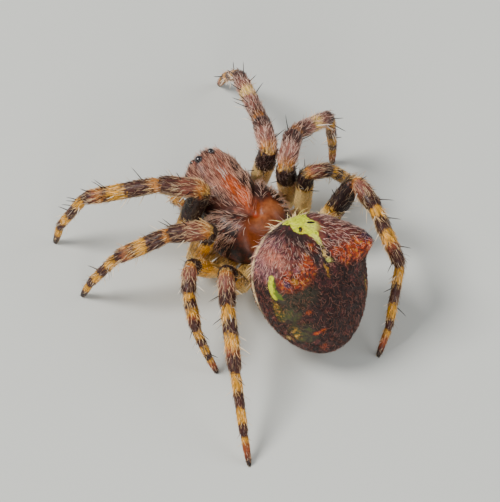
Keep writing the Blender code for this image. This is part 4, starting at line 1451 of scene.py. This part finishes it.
@dataclass
class Limb:
    """A round jointed limb: joints, the radius along it and the spread of its rings."""

    # How far each closing ring has gone from the rim to the middle, and how far a limb keeps off the floor
    END_RINGS = (0.35, 0.65, 0.85, 1.0)
    CLEARANCE = 0.0005
    # A rounded joint takes up at most this share of a segment, in this many steps
    CORNER_SHARE = 0.35
    CORNER_STEPS = 9

    joints: list[Array]
    radii: tuple[tuple[float, float], ...]
    across: Array
    corner: float = 0.2
    spacing: float = 0.045
    sides: int = 28
    tip_dome: float = 0.4

    def path(self) -> tuple[Array, Array]:
        """The middle line with rounded joints, and how many segments out each of its places is."""
        lengths = [np.linalg.norm(b - a) for a, b in zip(self.joints, self.joints[1:])]
        ways = [(b - a) / n for a, b, n in zip(self.joints, self.joints[1:], lengths)]
        count = len(ways)
        reach = [0.0] * (count + 1)
        for index in range(1, count):
            shorter = min(lengths[index - 1], lengths[index])
            reach[index] = min(self.corner, self.CORNER_SHARE * shorter)
        places, stations = [], []
        for index, (way, length) in enumerate(zip(ways, lengths)):
            start, end = reach[index], length - reach[index + 1]
            steps = max(3, math.ceil((end - start) / self.spacing))
            for distance in np.linspace(start, end, steps):
                places.append(self.joints[index] + way * distance)
                stations.append(index + distance / length)
            if index + 1 == count:
                continue
            bend = reach[index + 1]
            first, last = self.joints[index + 1] - way * bend, self.joints[index + 1] + ways[index + 1] * bend
            for t in np.linspace(0.0, 1.0, self.CORNER_STEPS)[1:-1]:
                places.append((1 - t) ** 2 * first + 2 * t * (1 - t) * self.joints[index + 1] + t**2 * last)
                share = bend / (length if t < 0.5 else lengths[index + 1])
                stations.append(index + 1 + share * (2 * t - 1))
        return np.array(places), np.array(stations)

    def shell(self, floor: float) -> tuple[Shell, Array]:
        """The limb's form, and each point's place along and round it.

        Args:
            floor: The height that no point goes below.

        Returns:
            The shell, and (segments out, share sideways, share upwards) at each point.
        """
        centres, stations = self.path()
        table = np.array(self.radii)
        radius = np.interp(stations, table[:, 0], table[:, 1])
        tangent = unit(np.gradient(centres, axis=0))
        side = np.zeros_like(centres)
        middle = int(np.searchsorted(stations, min(2.5, stations[-1] / 2)))
        for order in (range(middle, len(centres)), range(middle, -1, -1)):
            carried = self.across
            for index in order:
                carried = carried - carried.dot(tangent[index]) * tangent[index]
                carried = carried / np.linalg.norm(carried)
                side[index] = carried
        upper = np.cross(tangent, side)
        around = np.linspace(0.0, math.tau, self.sides, endpoint=False)[None, :, None]
        outward = np.cos(around) * side[:, None] + np.sin(around) * upper[:, None]
        points = centres[:, None] + radius[:, None, None] * outward
        # Both ends are closed by rings that shrink onto the middle line
        tips = []
        for index, sign, dome in ((0, -1.0, 0.0), (-1, 1.0, self.tip_dome)):
            rows = []
            for share in self.END_RINGS:
                ahead = dome * math.sin(share * math.pi / 2)
                rows.append(
                    centres[index]
                    + sign * tangent[index] * radius[index] * ahead
                    + radius[index] * math.cos(share * math.pi / 2) * outward[index]
                )
            tips.append(np.array(rows))
        points = np.concatenate([tips[0][::-1], points, tips[1]])
        points[..., 2] = np.maximum(points[..., 2], floor + self.CLEARANCE)
        count = len(self.END_RINGS)

        def capped(values: Array) -> Array:
            """Repeats the first and the last row for the rings of the ends."""
            return np.concatenate([values[:1].repeat(count, 0), values, values[-1:].repeat(count, 0)])

        stations, lie, spin, side, upper = map(capped, (stations, tangent, outward, side, upper))
        sideways = (spin * side[:, None]).sum(-1)
        upwards = (spin * upper[:, None]).sum(-1)
        where = np.stack([np.broadcast_to(stations[:, None], sideways.shape), sideways, upwards], axis=-1)
        return Shell(points, np.broadcast_to(lie[:, None], points.shape).copy(), points), where


@dataclass
class Face:
    """The eyes, chelicerae, fangs and palps."""

    eyes: tuple[tuple[str, float, float, float], ...] = (
        ("front_median", 0.97, 62, 0.095),
        ("rear_median", 0.93, 77, 0.105),
        ("front_lateral", 0.985, 24, 0.065),
        ("rear_lateral", 0.945, 30, 0.065),
    )
    # Points round and along each dome, and round and across each rim
    dome_grid: tuple[int, int] = (40, 24)
    rim_grid: tuple[int, int] = (36, 14)
    eye_lift: float = 0.004
    eye_height: float = 0.8
    rim_share: float = 0.16
    chelicera_top: tuple[float, float, float] = (1.84, 0.26, 1.15)
    chelicera_radius: float = 0.24
    chelicera_half_length: float = 0.5
    chelicera_down: float = 0.3
    chelicera_bulge: float = 0.1
    chelicera_taper: float = 0.2
    chelicera_grid: tuple[int, int] = (46, 40)
    fang_length: float = 0.26
    fang_radius: float = 0.05
    palp_joints: tuple[tuple[float, float, float], ...] = (
        (1.16, 0.40, 0.78),
        (1.28, 0.66, 0.80),
        (1.86, 0.92, 1.16),
        (2.16, 0.92, 1.10),
        (2.40, 0.80, 0.80),
        (2.46, 0.62, 0.26),
    )
    palp_radii: tuple[tuple[float, float], ...] = (
        *((0.0, 0.10), (0.95, 0.11), (1.1, 0.10), (1.5, 0.13), (1.9, 0.12), (2.0, 0.11), (2.5, 0.125)),
        *((3.0, 0.105), (3.5, 0.115), (4.0, 0.095), (4.4, 0.105), (4.8, 0.075), (5.0, 0.045)),
    )
    seed: int = 23
    down: Hair = Hair(160, 0.16, 0.008, 28, 10, 16, 6, 2, tint=(0.1, 1.0))
    palp_hair: Hair = Hair(200, 0.20, 0.008, 34, 18, 16, 6, 2, tint=(0.2, 1.0))
    bristle: Hair = Hair(14, 0.30, 0.011, 55, 45, 16, 4, 3, 4, tint=(0.0, 0.8))

    def build(self, model: Model, front: FrontBody) -> None:
        """Builds every part of the face on both sides."""
        finishes = model.finishes
        glass = {"roughness": 0.08, "scale": 9.0, "coat": 1.0}
        gloss = finishes.plain(PlainFinish("eye_gloss", PALETTE.black, srgb(26, 18, 26), **glass))
        matt = {"roughness": 0.4, "scale": 30.0, "coat": 0.2, "relief": 0.3}
        rim = finishes.plain(PlainFinish("eye_rim", PALETTE.dark, PALETTE.umber, **matt))
        horn = {"roughness": 0.2, "scale": 12.0, "coat": 0.5}
        fang = finishes.plain(PlainFinish("fang_horn", srgb(58, 20, 12), PALETTE.black, **horn))
        finish = SkinFinish("jaw_skin", roughness=0.3, relief=0.3, relief_scale=26.0, coat=0.3)
        jaw = finishes.skin(finish, "jaw")
        finish = SkinFinish("palp_skin", roughness=0.42, relief=0.35, relief_scale=26.0, coat=0.1)
        palp = finishes.skin(finish, "palp")
        jaw_coat = finishes.coat(CoatFinish("jaw_coat", PALETTE.cream, low=0.3, high=1.1), "jaw")
        palp_coat = finishes.coat(CoatFinish("palp_coat", PALETTE.cream, low=0.3, high=1.1), "palp")
        for side in Side:
            for name, along, degrees, radius in self.eyes:
                self._eye(model, front, side, name, (along, degrees, radius), gloss, rim)
            self._chelicera(model, side, jaw, jaw_coat, fang)
            self._palp(model, side, palp, palp_coat)

    def _eye(
        self,
        model: Model,
        front: FrontBody,
        side: Side,
        name: str,
        size: tuple[float, float, float],
        gloss: bpy.types.Material,
        rim: bpy.types.Material,
    ) -> None:
        """A glossy dome set in a low dark rim."""
        along, degrees, radius = size
        angle = math.radians(degrees if side is Side.LEFT else 180 - degrees)
        step = 0.01
        spots = np.array([along, along - step, along]), np.array([angle, angle, angle + step])
        here, behind, above = front.carapace_point(*spots)
        normal = unit(np.cross(behind - here, above - here))
        if normal.dot(here - place(1.6, 0, 1.5)) < 0:
            normal = -normal
        turn = Vector(normal).to_track_quat("Z", "Y")
        for kind, material in (("rim", rim), ("dome", gloss)):
            Model.deselect()
            middle = Vector(model.to_world(here + normal * self.eye_lift))
            if kind == "dome":
                sides, rings = self.dome_grid
                bpy.ops.mesh.primitive_uv_sphere_add(segments=sides, ring_count=rings, radius=radius * MM)
            else:
                sides, rings = self.rim_grid
                bpy.ops.mesh.primitive_torus_add(
                    major_radius=radius * MM,
                    minor_radius=radius * self.rim_share * MM,
                    major_segments=sides,
                    minor_segments=rings,
                )
            piece = bpy.context.object
            piece.name = f"eye_{name}_{side.label}_{kind}"
            bpy.ops.object.mode_set(mode="EDIT")
            bpy.ops.mesh.select_all(action="SELECT")
            bpy.ops.transform.resize(value=(1.0, 1.0, self.eye_height), center_override=(0, 0, 0))
            bpy.ops.object.mode_set(mode="OBJECT")
            piece.data.transform(turn.to_matrix().to_4x4())
            for vertex in piece.data.vertices:
                vertex.co += middle
            bpy.ops.object.shade_smooth()
            piece.data.materials.append(material)
            nodes = (f"eye_{name}_{side.label}",) if kind == "dome" else ()
            model.keep(piece, "eye", nodes)

    def _chelicera(
        self,
        model: Model,
        side: Side,
        skin: bpy.types.Material,
        coat: bpy.types.Material,
        horn: bpy.types.Material,
    ) -> None:
        """A stout tapering jaw with the fang folded in below it."""
        forward, left, up = self.chelicera_top
        top = place(forward, side.value * left, up)
        rings, sides = self.chelicera_grid
        turn = np.linspace(0.0, math.pi, rings)[:, None]
        around = np.linspace(0.0, math.tau, sides, endpoint=False)[None]
        along = -np.cos(turn) * np.ones_like(around)
        width = self.chelicera_radius * (1 - self.chelicera_taper * along)
        ahead = width * np.sin(turn) * np.sin(around) + self.chelicera_bulge * (1 - along**2)
        sideways = width * np.sin(turn) * np.cos(around)
        down = self.chelicera_down + self.chelicera_half_length * along
        points = top + np.stack([sideways, -ahead, -down], axis=-1)
        lie = np.zeros_like(points) + np.array([0.0, 0.1, -1.0])
        shell = Shell(points, lie, points)
        name = "chelicera_" + side.label
        model.skin(name + "_skin", shell, skin, "chelicera", (name,))
        chance = np.random.default_rng(self.seed + side.value)
        strands = Strands()
        strands.cover(shell, self.down, chance)
        strands.cover(shell, self.bristle, chance)
        model.strands(name + "_coat", strands, coat, "chelicera")
        root = top + place(0.06, 0.0, -self.chelicera_down - self.chelicera_half_length + 0.1)
        bend = root + place(0.03, -side.value * 0.06, -0.16)
        tip = root + place(-0.12, -side.value * 0.16, -self.fang_length + 0.04)
        thick = self.fang_radius
        radii = ((0.0, thick), (1.0, thick * 0.8), (1.6, thick * 0.45), (2.0, 0.006))
        form = {"corner": 0.1, "spacing": 0.02, "sides": 20, "tip_dome": 1.0}
        limb = Limb([root, bend, tip], radii, np.array([0.0, 1.0, 0.0]), **form)
        model.skin(f"fang_{side.label}", limb.shell(model.floor)[0], horn, "chelicera")

    def _palp(self, model: Model, side: Side, skin: bpy.types.Material, coat: bpy.types.Material) -> None:
        """A short leg-like feeler with its coat."""
        joints = [place(f, side.value * l, z) for f, l, z in self.palp_joints]
        across = unit(np.cross(joints[3] - joints[1], joints[5] - joints[1]))
        limb = Limb(joints, self.palp_radii, across, corner=0.12, spacing=0.03, sides=24, tip_dome=0.8)
        shell, station = limb.shell(model.floor)
        name = "palp_" + side.label
        model.skin(name + "_skin", shell, skin, "banded_leg", (name,), station)
        chance = np.random.default_rng(self.seed + 5 + side.value)
        strands = Strands()
        for kind in (self.palp_hair, self.bristle):
            strands.cover(shell.with_stations(station), kind, chance)
        model.strands(name + "_coat", strands, coat, "banded_leg", True)


LEG_LENGTHS = {
    1: (2.05, 1.20, 2.25, 1.50),
    2: (1.95, 1.10, 1.60, 1.45),
    3: (1.65, 0.80, 1.00, 0.95),
    4: (2.15, 1.00, 1.80, 1.75),
}
LEG_RADII = {
    1: (0.26, 0.31, 0.28, 0.24, 0.165, 0.130),
    2: (0.26, 0.31, 0.28, 0.24, 0.165, 0.130),
    3: (0.24, 0.26, 0.22, 0.19, 0.150, 0.120),
    4: (0.26, 0.31, 0.25, 0.22, 0.160, 0.125),
}
TROCHANTERS = {
    1: (1.30, 1.35, 0.75),
    2: (0.35, 1.70, 0.80),
    3: (-0.40, 1.53, 0.90),
    4: (-1.20, 1.30, 0.85),
}
COXA_ROOTS = {
    1: (0.62, 0.30, 0.80),
    2: (0.24, 0.20, 0.80),
    3: (-0.24, 0.20, 0.80),
    4: (-0.62, 0.30, 0.80),
}
# For each segment: the place along the leg, and the share of the segment's radius there
LEG_PROFILES = (
    ((0.0, 0.8), (0.4, 1.05), (0.75, 1.2), (0.97, 1.1)),
    ((1.03, 0.86), (1.15, 0.92), (1.4, 1.0), (1.7, 0.98), (1.88, 0.92), (1.96, 0.86)),
    ((2.0, 0.80), (2.07, 0.90), (2.3, 1.0), (2.75, 1.0), (2.93, 0.93)),
    ((3.0, 0.84), (3.06, 0.94), (3.25, 1.0), (3.75, 0.97), (3.94, 0.90)),
    ((4.0, 0.94), (4.08, 1.0), (4.8, 0.92), (4.95, 0.88)),
    ((5.0, 0.90), (5.08, 0.98), (5.4, 1.0), (5.8, 0.8), (5.95, 0.6), (6.0, 0.45)),
)
# Bearing of the leg's plane, its lean, swing of the tibia, then the rise of each segment, in degrees
POSES = {
    (Side.LEFT, 1): (51, -1, -4, 106, 10, -21, -63, -80),
    (Side.LEFT, 2): (54, 12, 16, 102, -8, -21, -61, -75),
    (Side.LEFT, 3): (131, -24, 6, 58, -16, -39, -70, -79),
    (Side.LEFT, 4): (141, -12, 1, 64, -13, -28, -38, -47),
    (Side.RIGHT, 1): (29, -7, -5, 101, -10, -16, -54, -67),
    (Side.RIGHT, 2): (52, 1, 30, 102, 9, -25, -86, -92),
    (Side.RIGHT, 3): (101, 5, -2, 83, -20, -55, -64, -68),
    (Side.RIGHT, 4): (183, 40, -3, 88, -6, -23, -64, -76),
}
# Where along each femur its dark end starts
DARK_FROM = {
    (Side.LEFT, 1): 0.36,
    (Side.LEFT, 2): 0.78,
    (Side.LEFT, 3): 0.80,
    (Side.LEFT, 4): 0.80,
    (Side.RIGHT, 1): 0.60,
    (Side.RIGHT, 2): 0.64,
    (Side.RIGHT, 3): 0.72,
    (Side.RIGHT, 4): 0.50,
}


@dataclass
class Leg:
    """One leg from breastplate to claws, with its coat, spines and claws."""

    side: Side
    pair: int
    coat_depth: float = 0.02
    seed: int = 40
    flat: Hair = Hair(250, 0.20, 0.0080, 12, 3, 6, 5, 2, tint=(0.0, 0.85))
    streak: Hair = Hair(62, 0.32, 0.0102, 11, 4, 7, 9, 3, tint=(0.75, 1.2))
    raised: Hair = Hair(50, 0.19, 0.0075, 32, 16, 14, 8, 3, tint=(0.4, 1.2))
    fine: Hair = Hair(8, 0.30, 0.0065, 60, 44, 24, 6, 3, tint=(0.5, 1.4))
    spine: Hair = Hair(1.7, 0.46, 0.016, 60, 52, 10, 4, 4, 5, tint=(0.0, 0.4), vary=0.2)
    pale_spine: Hair = Hair(3.2, 0.40, 0.0150, 52, 46, 14, 4, 4, 5, tint=(0.75, 1.0), vary=0.3)
    claw: Hair = Hair(0, 0.11, 0.014, 20, -50, 4, 2, 4, 5, tint=(0.0, 0.1), vary=0.1)
    # Rows of (place along the leg, share of hairs or spines, or of their length, there)
    hair_cover: tuple[tuple[float, float], ...] = (
        *((0.0, 0.1), (0.9, 0.2), (1.1, 0.3), (1.5, 0.6), (2.0, 1.0), (5.0, 1.0), (6.0, 0.8)),
    )
    hair_lengths: tuple[tuple[float, float], ...] = (
        *((0.0, 0.7), (1.5, 0.8), (2.0, 1.0), (4.0, 0.9), (5.0, 0.6), (6.0, 0.5)),
    )
    spine_cover: tuple[tuple[float, float], ...] = (
        *((1.3, 0.0), (1.4, 1.0), (2.0, 1.0), (3.0, 1.2), (3.1, 2.2), (4.9, 2.4), (5.0, 0.4), (6.0, 0.0)),
    )
    spine_lengths: tuple[tuple[float, float], ...] = (
        *((1.0, 0.8), (3.5, 1.0), (4.0, 0.85), (5.0, 0.7), (6.0, 0.5)),
    )
    # The claws stand on these points of the ring just before the tip's own
    claw_columns: tuple[int, ...] = (5, 7, 9)
    claw_ring: int = -6

    @property
    def label(self) -> str:
        """The leg's word in piece names."""
        return f"leg{self.pair}_{self.side.label}"

    def joints(self) -> list[Array]:
        """The root on the breastplate and the six joints down to the foot."""
        bearing, lean, swing, *rises = (math.radians(value) for value in POSES[self.side, self.pair])
        sign = self.side.value
        forward, left, up = COXA_ROOTS[self.pair]
        found = [place(forward, sign * left, up)]
        forward, left, up = TROCHANTERS[self.pair]
        found.append(place(forward, sign * left, up))
        for index, rise in enumerate(rises):
            turn = bearing + (swing if index >= 2 else 0)
            outward = place(math.cos(turn), sign * math.sin(turn), 0)
            upright = np.array([0.0, 0.0, 1.0])
            upward = upright * math.cos(lean) + np.cross(upright, outward) * math.sin(lean)
            way = outward * math.cos(rise) + upward * math.sin(rise)
            length = LEG_LENGTHS[self.pair][index] if index < 4 else found[-1][2] / -way[2]
            found.append(found[-1] + way * length)
        return found

    def radii(self) -> tuple[tuple[float, float], ...]:
        """The radius along the leg, drawn in at each joint."""
        return tuple(
            (spot, (radius - self.coat_depth) * share)
            for radius, profile in zip(LEG_RADII[self.pair], LEG_PROFILES)
            for spot, share in profile
        )

    def banded(self, station: Array) -> Array:
        """Shifts the places along the femur so that its dark end starts where this leg's does."""
        power = math.log(0.5) / math.log(DARK_FROM[self.side, self.pair])
        moved = station.copy()
        on_femur = np.clip(station[..., 0] - 1, 0.0, 1.0)
        moved[..., 0] += on_femur**power - on_femur
        return moved

    def build(
        self,
        model: Model,
        skin: bpy.types.Material,
        coat: bpy.types.Material,
        spines: bpy.types.Material,
    ) -> None:
        """Builds the leg's skin, coat and spines."""
        joints = self.joints()
        across = unit(np.cross(joints[2] - joints[1], joints[4] - joints[1]))
        shell, station = Limb(joints, self.radii(), across).shell(model.floor)
        nodes = tuple(f"{self.label}_{part}" for part in ("coxa", "femur", "tibia", "foot"))
        model.skin(self.label + "_skin", shell, skin, "banded_leg", nodes, self.banded(station))
        chance = np.random.default_rng(self.seed + 10 * self.pair + self.side.value)
        marked = shell.with_stations(self.banded(station))
        strands = Strands()
        cover = np.interp(station[..., 0], *zip(*self.hair_cover))
        for kind in (self.flat, self.streak, self.raised, self.fine):
            strands.cover(marked, kind, chance, cover, self.hair_lengths)
        model.strands(self.label + "_coat", strands, coat, "banded_leg", True)
        self._spines(model, marked, chance, spines)

    def _spines(
        self,
        model: Model,
        marked: Shell,
        chance: np.random.Generator,
        material: bpy.types.Material,
    ) -> None:
        """Stands stout spines on the leg, more on the outer segments."""
        weight = np.interp(marked.marks[..., 3], *zip(*self.spine_cover))
        upper = smoothstep(marked.marks[..., 5] + 0.6)
        strands = Strands()
        strands.cover(marked, self.spine, chance, weight * upper, self.spine_lengths)
        strands.cover(marked, self.pale_spine, chance, weight * (1.1 - upper), self.spine_lengths)
        strands.grow(self._claw_roots(marked), self.claw, chance)
        model.strands(self.label + "_spines", strands, material, "banded_leg", True)

    def _claw_roots(self, marked: Shell) -> Roots:
        """Where the claws stand, on the upper side of the foot's end."""
        columns = np.array(self.claw_columns)
        rings, sides = marked.points.shape[:2]
        picked = np.full_like(columns, rings + self.claw_ring), columns
        unwrap = np.stack([columns / sides, np.full(len(columns), 0.97)], axis=-1)
        outward = unit(marked.outward()[picked])
        return Roots(marked.points[picked], outward, marked.lie[picked], marked.marks[picked], unwrap)


class Studio:
    """The floor, the lights and the camera."""

    ELEVATION = 53.9
    BEARING = 39.0
    PIXELS_PER_MM = 36.0
    PICTURE = (500, 502)
    ORIGIN_PIXEL = (249.8, 252.8)
    DISTANCE = 0.4
    SENSOR = 36.0
    FLOOR_SIZE = 0.8
    SKY = (0.92, 0.95, 1.0, 1.0)
    SKY_STRENGTH = 0.28
    # Each lamp: its name, place, width, power and colour
    LAMPS = (
        ("key", (0.15, -0.12, 0.27), 0.14, 1.2, (1.0, 0.98, 0.95)),
        ("fill", (-0.22, 0.16, 0.20), 0.22, 0.35, (0.95, 0.98, 1.0)),
        ("rim", (0.18, 0.22, 0.12), 0.14, 0.42, (1.0, 0.98, 0.95)),
    )

    @staticmethod
    def _material(name: str, colour: Colour, roughness: float) -> bpy.types.Material:
        """A plain matt material with a faint mottle."""
        return Finishes.plain(PlainFinish(name, colour, colour, roughness, scale=0.2))

    def build(self, model: Model) -> None:
        """Builds floor, lights and camera."""
        self._floor()
        self._lights()
        self._camera(model)

    def _floor(self) -> None:
        """A pale floor under the feet."""
        Model.deselect()
        bpy.ops.mesh.primitive_plane_add(size=self.FLOOR_SIZE, location=(0, 0, 0))
        floor = bpy.context.object
        floor.name = "floor"
        floor.data.materials.append(self._material("floor_paper", srgb(214, 216, 210), 0.85))

    def _lights(self) -> None:
        """Soft light from above, with a broad fill."""
        world = bpy.data.worlds.new("studio")
        world.use_nodes = True
        sky = world.node_tree.nodes["Background"].inputs
        sky["Color"].default_value = self.SKY
        sky["Strength"].default_value = self.SKY_STRENGTH
        bpy.context.scene.world = world
        for name, where, size, power, colour in self.LAMPS:
            data = bpy.data.lights.new(name, "AREA")
            data.shape = "DISK"
            data.size = size
            data.energy = power
            data.color = colour
            lamp = bpy.data.objects.new(name, data)
            lamp.location = where
            lamp.rotation_euler = (-Vector(where)).to_track_quat("-Z", "Y").to_euler()
            bpy.context.scene.collection.objects.link(lamp)

    def _camera(self, model: Model) -> None:
        """A long lens from behind and above the left side."""
        rise, turn = math.radians(self.ELEVATION), math.radians(self.BEARING)
        right = np.array([-math.cos(turn), math.sin(turn), 0.0])
        towards = np.array([math.sin(turn) * math.cos(rise), math.cos(turn) * math.cos(rise), math.sin(rise)])
        top = np.cross(towards, right)
        width, height = self.PICTURE
        offset = (width / 2 - self.ORIGIN_PIXEL[0]) * right - (height / 2 - self.ORIGIN_PIXEL[1]) * top
        target = model.to_world(offset / self.PIXELS_PER_MM)
        data = bpy.data.cameras.new("camera")
        data.sensor_fit = "HORIZONTAL"
        data.sensor_width = self.SENSOR
        data.lens = self.SENSOR * self.DISTANCE / (width / self.PIXELS_PER_MM * MM)
        data.clip_start = 0.01
        data.clip_end = 5.0
        camera = bpy.data.objects.new("camera", data)
        camera.location = Vector(target + towards * self.DISTANCE)
        camera.rotation_euler = Vector(-towards).to_track_quat("-Z", "Y").to_euler()
        bpy.context.scene.collection.objects.link(camera)
        bpy.context.scene.camera = camera


def main() -> None:
    """Builds the spider on its frame."""
    logging.basicConfig(level=logging.INFO, format="%(message)s")
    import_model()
    finishes = Finishes()
    model = Model(finishes)
    Studio().build(model)
    Abdomen().build(model)
    front = FrontBody()
    front.build(model)
    Face().build(model, front)
    spines = finishes.spines("spines")
    for bands, pairs, sides in (
        (LegBands.FRONT, (1, 2), (Side.LEFT,)),
        (LegBands.PALE, (1, 2), (Side.RIGHT,)),
        (LegBands.REAR, (3, 4), tuple(Side)),
    ):
        name = f"{bands.value}_leg_"
        finish = SkinFinish(name + "skin", roughness=0.5, relief=0.35, relief_scale=24.0, coat=0.08)
        skin = finishes.skin(finish, bands.value)
        # Hairs of the pale legs pale earlier, and to another colour, as painted sheen on the two front legs
        # on the right
        light, low = (PALETTE.pink, 0.3) if bands is LegBands.PALE else (PALETTE.cream, 0.5)
        finish = CoatFinish(name + "coat", light, low, high=low + 0.45, gain=1.3, most=0.75, over_dark=0.25)
        coat = finishes.coat(finish, bands.value)
        for pair in pairs:
            for side in sides:
                Leg(side, pair).build(model, skin, coat, spines)


if __name__ == "__main__":
    main()
